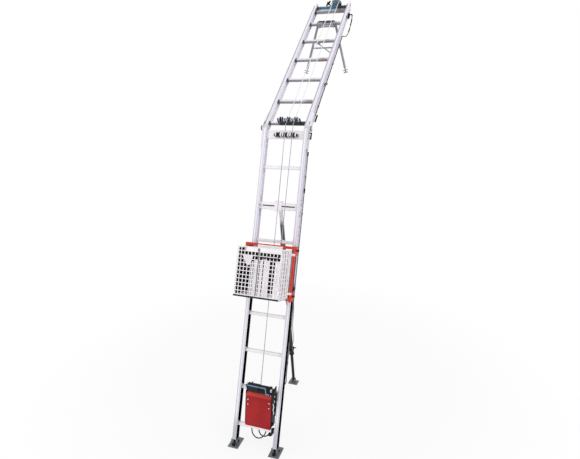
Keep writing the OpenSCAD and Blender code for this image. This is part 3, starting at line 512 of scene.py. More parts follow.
@dataclass(frozen=True)
class GradedTubePaint(Finish):
    """Black paint on a tube, grey further up and pale at its upper end."""

    grey: str = "#5C5D62"
    pale_top: str = "#E4E1E8"
    grey_from: float = -640.0
    pale_top_from: float = -150.0

    def colour(self, tree: Any, coords: Any) -> Any:
        """Adds the grey and pale lengths to the paint; see Finish.colour for Args and Returns."""
        shade = super().colour(tree, coords)
        height = add_node(tree, "ShaderNodeSeparateXYZ", {0: self.local(tree)})[2]
        for start, soft, tone in ((self.grey_from, 120.0, self.grey), (self.pale_top_from, 30.0, self.pale_top)):
            shade = self.lay(tree, shade, tone, self.window(tree, height, start, 1000.0, soft))
        return shade


# Die lines run along an extrusion as fine scratches. They are drawn coarser than life, so that they show.
DIE_LINES = {"roughness": 0.42, "spread": 0.07, "patch": 26.0, "grit": 15.0, "relief": 0.05,
             "stretch": (1 / 0.7, 0.02, 1 / 0.7)}
# Fine lines run along a drawn tube, and they too are drawn coarser than life.
TUBE_LINES = {"roughness": 0.4, "spread": 0.07, "patch": 30.0, "grit": 15.0, "relief": 0.05,
              "stretch": (0.03, 1.4, 1.4)}
# Grain that castings, cable sheaths and rope wire each share.
CAST_GRAIN = {"spread": 0.15, "patch": 30.0, "grit": 2.5, "relief": 0.4}
SHEATH_GRAIN = {"spread": 0.1, "patch": 40.0, "grit": 3.0, "relief": 0.1}
ROPE_GRAIN = {"spread": 0.1, "patch": 12.0, "grit": 2.0, "relief": 0.1}
# Extruded aluminium: pale, with a soft sheen that is drawn out along the rail.
LOWER_METAL = Extrusion(
    "extruded_aluminium_lower", "#F0ECF4", "#E2DEE9", metallic=0.35, place=FRAMES.lower, **DIE_LINES)
# The same extrusion at the foot: dulled by dirt, with near-black shade painted in its channels up to a
# height.
BASE_METAL = ChannelShadeExtrusion("extruded_aluminium_channel_shade", "#F2EEF5", "#E4E0EA", metallic=0.35,
                            place=FRAMES.lower, specular=0.0, **DIE_LINES)
# The same extrusion with a duller grey-blue band on the left of its front, and rusty marks on it.
UPPER_METAL = WornExtrusion("extruded_aluminium_worn", "#EFEBF2", "#DEDAE4", metallic=0.3, place=FRAMES.upper,
                            groove_shade="#CDC9D6", **DIE_LINES)
# Drawn aluminium tube: pale, with one long highlight along the rung.
RUNG_METAL = Finish("drawn_rung_tube", "#F3F0F5", "#E6E3EA", metallic=0.3, place=FRAMES.lower, **TUBE_LINES)
# The same tube with painted light: bluish and reddish reflections along its right third, shade on its
# underside and shadow at its left end.
UPPER_RUNG_METAL = LightPaintedTube(
    "drawn_rung_tube_painted_light", "#ECE9F0", "#D6D3DC", metallic=0.35, place=FRAMES.upper, **TUBE_LINES)
# Hot-dip zinc on plate: bright grey, with a broken sheen from crystal to crystal.
ZINC = Spangle("hot_dip_zinc", "#D9D9DE", "#C4C6CC", metallic=0.45, roughness=0.42, spread=0.14, patch=80.0,
               grit=5.0, relief=0.1)
# Zinc on thin wire: nearly white, with crystals too small to stand out.
WIRE_ZINC = Spangle("zinc_wire", "#F8F4F7", "#EEEAED", metallic=0.2, roughness=0.45, patch=70.0, relief=0.1,
                    contrast=0.08)
# Red enamel sprayed on sheet: a deep even red with painted light on its upper fold, and little gloss.
COVER_RED = FoldedEnamel("red_enamel_cover", "#AB2427", "#9A1C20", spread=0.1, patch=120.0,
                         place=FRAMES.winch, specular=0.2)
# Red enamel sprayed on tube: a brighter red with the slight orange peel of spray paint.
FRAME_RED = Finish("red_enamel_frame", "#DC4A38", "#C03026", patch=90.0, specular=0.25)
# Orange enamel, lighter than the red beside it: painted light along the carriage's side edges, and the colour
# of the roof bracket's rib ends.
EDGE_ORANGE = Finish("orange_enamel_edge", "#EE7258", "#DD5B45", specular=0.25)
# Blue enamel on the head beam: a clear mid blue with small bright reflections in its top coat.
HEAD_BLUE = Finish("blue_enamel_head", "#4A85A4", "#35687F", roughness=0.45, coat=0.1)
# Blue enamel on a round bar: lighter, with a bright line where the bar curves; on the drum guard its blue
# also stands for the bluish highlight along the drum, a painted reflection.
GUARD_BLUE = Finish("blue_enamel_guard", "#6A94B2", "#4F7896", roughness=0.4, spread=0.1, coat=0.1)
# Pale blue enamel on a thin edge: chalky and washed out.
SKIRT_BLUE = Finish("blue_enamel_skirt", "#A9C3D6", "#8DA9BE", roughness=0.45, spread=0.1)
# Blue-black enamel on steel angle: nearly black, and blue only where light falls on it.
FLOOR_EDGE = Finish("blue_black_enamel", "#1B2F38", "#0F1D24", roughness=0.45, patch=40.0, specular=0.3)
# White enamel on a plate: clean, even and a little off white.
SIGN_WHITE = Finish("white_enamel_sign", "#ECE6EA", "#E4DEE2", spread=0.1, relief=0.1, specular=0.25)
# Black enamel on steel: deep black with faint broad highlights.
BLACK_ENAMEL = Finish("black_enamel", "#161618", "#0C0C0E", patch=70.0, relief=0.15, specular=0.2)
# Grey paint brushed on ground steel: dull and uneven, with a little metal showing through.
GREY_ENAMEL = Finish("grey_enamel", "#7A7D80", "#5F6265", metallic=0.15, roughness=0.55, spread=0.15,
                     patch=45.0, grit=3.0, relief=0.2)
# Grey paint on a pressed plate: lighter and smoother, with soft patches.
BRACKET_GREY = Finish("grey_bracket_paint", "#A9A9AD", "#909095", metallic=0.1, patch=45.0, grit=3.0,
                      relief=0.15)
# Grey paint on leg tube: cool, with a soft line of light along the tube.
LEG_GREY = Finish("grey_leg_paint", "#94969D", "#7B7D84", metallic=0.2, patch=50.0)
# Black paint on the prop's steel: matt and a little patchy.
PROP_BLACK = Finish("black_prop_paint", "#18181B", "#0D0D0F", spread=0.15, patch=90.0, grit=5.0, relief=0.2,
                    specular=0.25)
# The same paint on the outer tube: grey further up, and pale at its upper end.
PROP_TUBE = GradedTubePaint("graded_prop_paint", "#242427", "#17171A", patch=40.0, grit=5.0, relief=0.1,
                        place=FRAMES.prop, specular=0.25)
# Bare sand casting: grainy grey metal with a matt, speckled light.
CASTING = Finish("cast_gear_case", "#8B8D92", "#6E7076", metallic=0.45, **CAST_GRAIN)
# Sand casting dark with oil: the same grain, nearly black.
GEAR_DARK = Finish("dark_gear_case", "#232427", "#161719", metallic=0.1, roughness=0.55, specular=0.25,
                   **CAST_GRAIN)
# Moulded plastic: black, with a fine even grain and little gloss.
MOULDED = Finish("moulded_plastic", "#171719", "#0D0D0E", spread=0.1, patch=50.0, grit=2.0, relief=0.15,
                 specular=0.3)
# Pale blue bush on a steel axle: smooth and cool, with a clear highlight; its pale blue is partly painted
# highlight between the upper pulleys.
SLEEVE_BLUE = Finish("pale_blue_bush", "#C3CFDC", "#A9B8C8", metallic=0.2, roughness=0.4, spread=0.1,
                     patch=30.0, grit=3.0, relief=0.08)
# Black rubber: matt, and it swallows light.
RUBBER = Finish("black_rubber", "#191818", "#0F0F0E", roughness=0.75, spread=0.1, patch=50.0, grit=2.0,
                relief=0.2, specular=0.15)
# Grey rubber lip: matt and dusty.
SEAM_GREY = Finish("grey_lip_rubber", "#8C8A92", "#75737B", roughness=0.6, **SHEATH_GRAIN)
# Extruded cable sheath: black, and a little smoother than rubber.
SHEATH = Finish("cable_sheath", "#111112", "#080809", roughness=0.6, specular=0.2, **SHEATH_GRAIN)
# Grey cable sheath and cord: an even mid grey with a dull sheen.
GREY_SHEATH = Finish("grey_cable_sheath", "#66676D", "#4E4F55", roughness=0.55, **SHEATH_GRAIN)
# Bright rope wire: it glints on the crowns of its strands and is darker between them.
STRAND = Finish("bright_rope_wire", "#B6B3BF", "#94919C", metallic=0.5, roughness=0.4, **ROPE_GRAIN)
# Rope wire painted nearly white: a lit copy of the rope wire, painted light on the upper rope.
LIT_STRAND = Finish("lit_rope_wire", "#F1EBF1", "#E2DCE4", metallic=0.2, roughness=0.45, **ROPE_GRAIN)
# Greased rope: black, because the grease holds the dirt.
GREASED = Finish("greased_rope", "#1D1C1E", "#121213", metallic=0.1, **ROPE_GRAIN)
# Polished chrome: it mirrors the room.
POLISHED = Finish("polished_chrome", "#EDEDEF", "#DADADD", metallic=1.0, roughness=0.16, spread=0.06,
                  patch=40.0, relief=0.02)
# Turned steel: bright, with a broad soft highlight.
BRIGHT = Finish("turned_steel", "#D8D8DC", "#B5B6BC", metallic=0.8, roughness=0.32, spread=0.1, patch=20.0,
                grit=3.0, relief=0.06)


class Workpiece:
    """Gathers simple solids into one mesh, in a frame and in millimetres.

    The method of each solid gives the piece back, so that calls can follow each other.
    """

    def __init__(self, name: str, place: Matrix) -> None:
        """Starts an empty piece.

        Args:
            name: Name of the finished object.
            place: Frame that the millimetres are in.
        """
        self.name = name
        self.place = place
        self.mesh = bmesh.new()

    def soften(self, parts: Sequence[Any], edge: float) -> "Workpiece":
        """Bevels the edges of vertices or faces.

        Args:
            parts: Vertices or faces of the mesh.
            edge: Width of the bevel, or zero for none.

        Returns:
            The piece itself.
        """
        if edge > 0:
            edges = {e for part in parts for e in (part.edges if hasattr(part, "edges") else part.link_edges)}
            bmesh.ops.bevel(self.mesh, geom=list(edges), offset=edge, segments=2, affect="EDGES", profile=0.5)
        return self

    def block(self, low: Point, high: Point, edge: float = 0.0) -> "Workpiece":
        """Adds a box with softened edges.

        Args:
            low: One corner.
            high: The opposite corner.
            edge: Width of the bevel.

        Returns:
            The piece itself.
        """
        middle = Matrix.Translation((Vector(low) + Vector(high)) / 2)
        size = Matrix.Diagonal((*(abs(b - a) for a, b in zip(low, high)), 1.0))
        made = bmesh.ops.create_cube(self.mesh, size=1.0, matrix=middle @ size)
        return self.soften(made["verts"], edge)

    def bar(self, start: Point, end: Point, radius: float, sides: int = 16,
            tip: float | None = None) -> "Workpiece":
        """Adds a round bar or a cone between two points.

        Args:
            start: Middle of the first end.
            end: Middle of the other end.
            radius: Radius at the start.
            sides: Number of facets.
            tip: Radius at the end, the same as at the start where none is given.

        Returns:
            The piece itself.
        """
        first, last = Vector(start), Vector(end)
        way = last - first
        turn = way.to_track_quat("Z", "Y").to_matrix().to_4x4()
        bmesh.ops.create_cone(self.mesh, cap_ends=True, segments=sides, radius1=radius,
                              radius2=radius if tip is None else tip, depth=way.length,
                              matrix=Matrix.Translation((first + last) / 2) @ turn)
        return self

    def ball(self, middle: Point, radius: float, flat: float = 1.0) -> "Workpiece":
        """Adds a ball, or a cap flattened along the frame's z.

        Args:
            middle: Its middle.
            radius: Its radius.
            flat: Share of the radius kept along z.

        Returns:
            The piece itself.
        """
        shape = Matrix.Translation(middle) @ Matrix.Diagonal((1, 1, flat, 1))
        bmesh.ops.create_uvsphere(self.mesh, u_segments=18, v_segments=10, radius=radius, matrix=shape)
        return self

    def skin(self, rings: Sequence[Sequence[Point]], closed: bool = False) -> list[Any]:
        """Joins rings of points into a shell.

        Args:
            rings: Rings of equally many points, in order.
            closed: Whether the last ring joins the first; otherwise both get a cap.

        Returns:
            The faces.
        """
        loops = [[self.mesh.verts.new(p) for p in ring] for ring in rings]
        faces = [] if closed else [self.mesh.faces.new(loops[0]), self.mesh.faces.new(loops[-1])]
        for near, far in zip(loops, loops[1:] + loops[:1] if closed else loops[1:]):
            for k in range(len(near)):
                faces.append(self.mesh.faces.new((near[k - 1], near[k], far[k], far[k - 1])))
        bmesh.ops.recalc_face_normals(self.mesh, faces=faces)
        return faces

    def lathe(self, middle: Point, axis: Axis, profile: Outline, sides: int = 32,
              side: int = 1) -> "Workpiece":
        """Adds a turned shape from a closed profile.

        Args:
            middle: Where the profile's zero height lies.
            axis: Direction of the axis.
            profile: Pairs of radius and height, all at a radius above zero.
            sides: Number of facets.
            side: Minus one for a shape that stands the other way along its axis.

        Returns:
            The piece itself.
        """
        base = Matrix.Translation(middle) @ axis.value
        angles = [2 * math.pi * k / sides for k in range(sides)]
        self.skin([[base @ Vector((r * math.cos(a), r * math.sin(a), side * h)) for r, h in profile]
                   for a in angles], closed=True)
        return self

    def sweep(self, points: Sequence[Point], radius: float, sides: int = 10) -> "Workpiece":
        """Adds a tube along points.

        Args:
            points: The middle line.
            radius: Radius of the tube.
            sides: Number of facets around.

        Returns:
            The piece itself.
        """
        line = [Vector(p) for p in points]
        angles = [2 * math.pi * k / sides for k in range(sides)]
        side = None
        rings = []
        for k, here in enumerate(line):
            way = (line[min(k + 1, len(line) - 1)] - line[max(k - 1, 0)]).normalized()
            if side is None:
                side = Vector((1, 0, 0)) if abs(way.x) < 0.8 else Vector((0, 1, 0))
            side = (side - way * side.dot(way)).normalized()
            other = way.cross(side)
            rings.append([here + radius * (math.cos(a) * side + math.sin(a) * other) for a in angles])
        self.skin(rings)
        return self

    def plate(self, outline: Outline, low: float, high: float, edge: float = 0.0) -> "Workpiece":
        """Adds a flat plate from an outline in the frame's x and y.

        Args:
            outline: Corners in order.
            low: Where it starts along z.
            high: Where it ends along z.
            edge: Width of the bevel.

        Returns:
            The piece itself.
        """
        return self.soften(self.skin([[(x, y, z) for x, y in outline] for z in (low, high)]), edge)

    def done(self, body: Body | str, slot: Slot, finish: Finish, *nodes: str) -> bpy.types.Object:
        """Places the mesh in metres and puts it on its body.

        Args:
            body: Body that carries it.
            slot: Slot of the record that its finish belongs to.
            finish: Its surface.
            nodes: Nodes of the model that it stands for.

        Returns:
            The finished object.
        """
        return settle(self.loose(finish), body, slot, *nodes)

    def loose(self, finish: Finish) -> bpy.types.Object:
        """Places the mesh in metres without a body.

        Args:
            finish: Its surface.

        Returns:
            The object, at the origin.
        """
        data = bpy.data.meshes.new(self.name)
        self.mesh.to_mesh(data)
        self.mesh.free()
        data.transform(self.place @ Matrix.Scale(MM, 4))
        return new_piece(self.name, data, finish)


def link_object(name: str, data: Any) -> bpy.types.Object:
    """Makes an object of a mesh, lamp or camera and links it to the scene.

    Args:
        name: Name of the object.
        data: What it shows.

    Returns:
        The object, at the origin.
    """
    made = bpy.data.objects.new(name, data)
    bpy.context.scene.collection.objects.link(made)
    return made


def new_piece(name: str, data: bpy.types.Mesh, finish: Finish) -> bpy.types.Object:
    """Links a mesh as an object with one finish and smooth shading between sharp edges.

    Args:
        name: Name of the object.
        data: Its mesh, already in place.
        finish: Its surface.

    Returns:
        The object.
    """
    data.materials.clear()
    data.materials.append(finish.build())
    data.shade_smooth()
    data.set_sharp_from_angle(angle=SHARP_ANGLE)
    return link_object(name, data)


def settle(piece: bpy.types.Object, body: Body | str, slot: Slot, *nodes: str) -> bpy.types.Object:
    """Puts a piece on its body and in the place of its nodes.

    Args:
        piece: The finished piece.
        body: Body that carries it.
        slot: Slot of the record; not used.
        nodes: Nodes that it stands for.

    Returns:
        The same piece.
    """
    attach(piece, body.value if isinstance(body, Body) else body)
    if nodes:
        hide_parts(*nodes)
    LOG.info("made %s", piece.name)
    return piece


def paint(finish: Finish, *nodes: str) -> None:
    """Gives nodes of the model a finish.

    Args:
        finish: The surface.
        nodes: Their names.
    """
    for name in nodes:
        data = frame["nodes"][name].data
        data.materials.clear()
        data.materials.append(finish.build())
        LOG.info("painted %s", name)


def evaluated_mesh(piece: bpy.types.Object) -> bpy.types.Mesh:
    """Turns an object with its modifiers into a plain mesh and removes the object.

    Args:
        piece: The object.

    Returns:
        A new mesh.
    """
    graph = bpy.context.evaluated_depsgraph_get()
    data = bpy.data.meshes.new_from_object(piece.evaluated_get(graph))
    piece.modifiers.clear()
    bpy.data.objects.remove(piece)
    return data


class NodeTree:
    """A Geometry Nodes tree with named sizes, run once on points and turned into a plain mesh."""

    def __init__(self, name: str, sizes: dict[str, float | int]) -> None:
        """Starts the tree and its inputs.

        Args:
            name: Name of the tree.
            sizes: Input names with their values, whole numbers for counts.
        """
        self.tree = bpy.data.node_groups.new(name, "GeometryNodeTree")
        self.values: dict[str, float | int] = {}
        new_socket = self.tree.interface.new_socket
        new_socket("Geometry", in_out="INPUT", socket_type="NodeSocketGeometry")
        for label, value in sizes.items():
            kind = "NodeSocketInt" if isinstance(value, int) else "NodeSocketFloat"
            self.values[new_socket(label, in_out="INPUT", socket_type=kind).identifier] = value
        new_socket("Geometry", in_out="OUTPUT", socket_type="NodeSocketGeometry")
        self.source = self.tree.nodes.new("NodeGroupInput").outputs

    def spread(self, shape: Any, points: Any) -> Any:
        """Sets a shape on each point, as a geometry socket."""
        return add_node(self.tree, "GeometryNodeInstanceOnPoints", {"Points": points, "Instance": shape})[0]

    def run(self, name: str, shapes: list[Any], points: Sequence[Point], place: Matrix,
            finish: Finish) -> bpy.types.Object:
        """Ends the tree, runs it on points and gives a plain piece.

        Args:
            name: Name of the piece.
            shapes: Geometry sockets that make up the result.
            points: Points that the tree starts from.
            place: Frame of the points.
            finish: Surface of the piece.

        Returns:
            A piece at the origin, on no body yet.
        """
        whole = add_node(self.tree, "GeometryNodeJoinGeometry", {0: shapes})[0]
        real = add_node(self.tree, "GeometryNodeRealizeInstances", {0: whole})[0]
        dressed = add_node(self.tree, "GeometryNodeSetMaterial", {0: real, "Material": finish.build()})[0]
        add_node(self.tree, "NodeGroupOutput", {0: dressed})
        seed = bpy.data.meshes.new(name + "_points")
        seed.from_pydata([Vector(p) for p in points], [], [])
        holder = link_object(name + "_holder", seed)
        modifier = holder.modifiers.new("repeat", "NODES")
        modifier.node_group = self.tree
        for key, value in self.values.items():
            modifier[key] = value
        data = evaluated_mesh(holder)
        data.transform(place @ Matrix.Scale(MM, 4))
        return new_piece(name, data, finish)


def fasteners(name: str, points: Sequence[Point], axis: Axis, place: Matrix, finish: Finish, radius: float,
              height: float) -> bpy.types.Object:
    """Sets hex heads with washers on points by Geometry Nodes.

    Args:
        name: Name of the piece.
        points: Where the heads sit.
        axis: Direction that the heads stand along.
        place: Frame of the points.
        finish: Their surface.
        radius: Radius of a head.
        height: Height of a head.

    Returns:
        A piece on no body yet.
    """
    nodes = NodeTree(name + "_tree", {"Radius": radius, "Height": height, "Washer Radius": 1.35 * radius,
                                      "Washer Height": 0.45 * height})
    tree, size = nodes.tree, nodes.source
    head = add_node(tree, "GeometryNodeMeshCylinder", {
        "Vertices": 6, "Radius": size["Radius"], "Depth": size["Height"]})["Mesh"]
    washer = add_node(tree, "GeometryNodeMeshCylinder", {
        "Vertices": 16, "Radius": size["Washer Radius"], "Depth": size["Washer Height"]})["Mesh"]
    lift = add_node(tree, "ShaderNodeCombineXYZ", {2: size["Washer Height"]})[0]
    raised = add_node(tree, "GeometryNodeTransform", {"Geometry": head, "Translation": lift})[0]
    bolt = add_node(tree, "GeometryNodeJoinGeometry", {0: [raised, washer]})[0]
    turned = add_node(tree, "GeometryNodeTransform", {"Geometry": bolt, "Rotation": axis.value.to_euler()})[0]
    return nodes.run(name, [nodes.spread(turned, size[0])], points, place, finish)


def strips(name: str, points: Sequence[Point], size: Point, place: Matrix,
           finish: Finish) -> bpy.types.Object:
    """Sets equal small blocks on points by Geometry Nodes, for ribs, slots and collars.

    Args:
        name: Name of the piece.
        points: Middles of the blocks.
        size: Size of a block.
        place: Frame of the points.
        finish: Their surface.

    Returns:
        A piece on no body yet.
    """
    labels = ("Width", "Height", "Depth")
    nodes = NodeTree(name + "_tree", {label: float(length) for label, length in zip(labels, size)})
    full = add_node(nodes.tree, "ShaderNodeCombineXYZ", {
        k: nodes.source[label] for k, label in enumerate(labels)})[0]
    block = add_node(nodes.tree, "GeometryNodeMeshCube", {"Size": full})["Mesh"]
    return nodes.run(name, [nodes.spread(block, nodes.source[0])], points, place, finish)


def wire_panel(name: str, wide: float, high: float, columns: int, rows: int, wire: float,
               place: Matrix) -> bpy.types.Object:
    """Weaves a welded wire panel by Geometry Nodes: uprights with cross wires laid on them.

    Args:
        name: Name of the piece.
        wide: Width of the panel.
        high: Height of the panel.
        columns: Openings across.
        rows: Openings upwards.
        wire: Diameter of a wire.
        place: Frame whose x and y the panel spans from its corner.

    Returns:
        A piece on no body yet.
    """
    radius = wire / 2
    nodes = NodeTree(name + "_tree", {
        "Width": wide, "Height": high, "Half Width": wide / 2, "Half Height": high / 2, "Radius": radius,
        "Uprights": columns + 1, "Upright Step": wide / columns, "Upright Lift": 0.0,
        "Crosses": rows + 1, "Cross Step": high / rows, "Cross Lift": 1.3 * radius})
    tree, size = nodes.tree, nodes.source
    shapes = []
    for kind, count, along, half, axis, turn in (
            ("Upright", "Uprights", "Height", "Half Height", 0, (math.pi / 2, 0.0, 0.0)),
            ("Cross", "Crosses", "Width", "Half Width", 1, (0.0, math.pi / 2, 0.0))):
        start = add_node(tree, "ShaderNodeCombineXYZ", {1 - axis: size[half], 2: size[kind + " Lift"]})[0]
        step = add_node(tree, "ShaderNodeCombineXYZ", {axis: size[kind + " Step"]})[0]
        line = add_node(tree, "GeometryNodeMeshLine", {
            "Count": size[count], "Start Location": start, "Offset": step}, mode="OFFSET")["Mesh"]
        rod = add_node(tree, "GeometryNodeMeshCylinder", {
            "Vertices": 8, "Radius": size["Radius"], "Depth": size[along]})["Mesh"]
        turned = add_node(tree, "GeometryNodeTransform", {"Geometry": rod, "Rotation": turn})[0]
        shapes.append(nodes.spread(turned, line))
    return nodes.run(name, shapes, [(0, 0, 0)], place, WIRE_ZINC)


def joined(name: str, pieces: Sequence[bpy.types.Object]) -> bpy.types.Object:
    """Joins pieces of one finish into the first.

    Args:
        name: Name of the result.
        pieces: Pieces at the origin, on no body.

    Returns:
        The one piece.
    """
    mesh = bmesh.new()
    for piece in pieces:
        mesh.from_mesh(piece.data)
    first = pieces[0]
    mesh.to_mesh(first.data)
    mesh.free()
    for piece in pieces[1:]:
        bpy.data.objects.remove(piece)
    first.name = name
    return first


@dataclass
class LowerLadder:
    """Rails, rungs, splices, feet and the clipped cable of the lower ladder."""

    foot_pivot_at: float = 48.78
    bolt_x: float = RAIL_X + RAIL_WALL / 2 + 1
    bolt_steps: tuple[float, ...] = (-70.0, -30.0, 30.0, 70.0)
    bolt_depth: float = -RAIL_DEPTH + RAIL_WALL + 8
    bolt_head: tuple[float, float] = (6.5, 4.0)
    rungs: int = 6
    collar_x: float = RAIL_X - 7
    collar: Point = (8.0, RUNG_SIZE + 6, RUNG_SIZE + 6)
    # Painted shade: a dark strip in the slit between the two joint rungs.
    strip: Box = ((36.0, JOINT_AT - 3.2, -48.0), (150.0, JOINT_AT + 3.2, -19.5))
    nut: tuple[float, float] = (9.0, 6.0)
    nut_reach: float = 34.0
    ear: Box = ((-13.0, -46.0, -29.0), (13.0, -31.0, -6.0))

    def build(self) -> None:
        """Paints the nodes and adds bolts, collars, a strip of painted shade in the joint's slit and the foot
        ears.
        """
        paint(BASE_METAL, "base_rails")
        paint(LOWER_METAL, "knee_rails")
        paint(RUNG_METAL, "lower_rungs")
        paint(ZINC, "joint_splices", "knee_plates")
        paint(WIRE_ZINC, "prop_clamp")
        paint(GREY_ENAMEL, "foot_left", "foot_right")
        paint(GREY_SHEATH, "limit_cable")
        self.splice_bolts()
        self.rung_collars()
        self.joint_gap_shade()
        self.feet()

    def splice_bolts(self) -> None:
        """Sets hex heads on the outer side of each rail joint."""
        for word, side in SIDES:
            points = [(side * self.bolt_x, JOINT_AT + step, self.bolt_depth) for step in self.bolt_steps]
            heads = fasteners(f"splice_bolts_{word}", points, Axis.X, FRAMES.lower, BRIGHT, *self.bolt_head)
            settle(heads, Body.LOWER, Slot.GALVANISED)

    def rung_collars(self) -> None:
        """Sets the welded collars where the rungs meet the rail webs."""
        points = [(side * self.collar_x, FIRST_RUNG + k * RUNG_PITCH, -MID_DEPTH)
                  for k in range(self.rungs) for side in (-1, 1)]
        collars = strips("rung_collars", points, self.collar, FRAMES.lower, RUNG_METAL)
        settle(collars, Body.LOWER, Slot.ALUMINIUM)

    def joint_gap_shade(self) -> None:
        """Fills the slit between the two joint rungs with dark rubber: painted shade in the gap."""
        strip = Workpiece("joint_rung_gap_shade", FRAMES.lower)
        for side in (-1, 1):
            strip.block(*((side * x, y, z) for x, y, z in self.strip), 0.5)
        strip.done(Body.LOWER, Slot.LEAD, RUBBER)

    def feet(self) -> None:
        """Sets the nuts on the foot pins and a dark ear in front of each rail's end."""
        level = Matrix.Translation(FRAMES.lower @ (Vector((0, self.foot_pivot_at, -MID_DEPTH)) * MM))
        for word, side in SIDES:
            body = word + "_foot"
            points = [(side * RAIL_X + end * self.nut_reach, 0, 0) for end in (-1, 1)]
            nuts = fasteners(body + "_nuts", points, Axis.X, level, BLACK_ENAMEL, *self.nut)
            settle(nuts, body, Slot.GREY)
            ear = Workpiece(body + "_ear", level)
            ear.block(*((side * RAIL_X + x, y, z) for x, y, z in self.ear), 2.0)
            ear.done(body, Slot.BLACK, BLACK_ENAMEL)


@dataclass
class Prop:
    """Telescopic prop with its clamp screw and foot."""

    ring_at: tuple[float, ...] = (-1640.0, -1698.0)
    ring: Outline = ((23.0, -5.0), (27.0, -4.0), (27.0, 4.0), (23.0, 5.0))

    def build(self) -> None:
        """Paints the tubes, the handle and the foot, and adds the collar's rings."""
        paint(PROP_TUBE, "prop_tube")
        paint(PROP_BLACK, "prop_leg")
        paint(BLACK_ENAMEL, "prop_screw")
        paint(GREY_ENAMEL, "prop_foot")
        rings = Workpiece("prop_collar_rings", FRAMES.prop)
        for height in self.ring_at:
            rings.lathe((0, 0, height), Axis.Z, self.ring)
        rings.done(Body.PROP, Slot.GREY, PROP_BLACK)


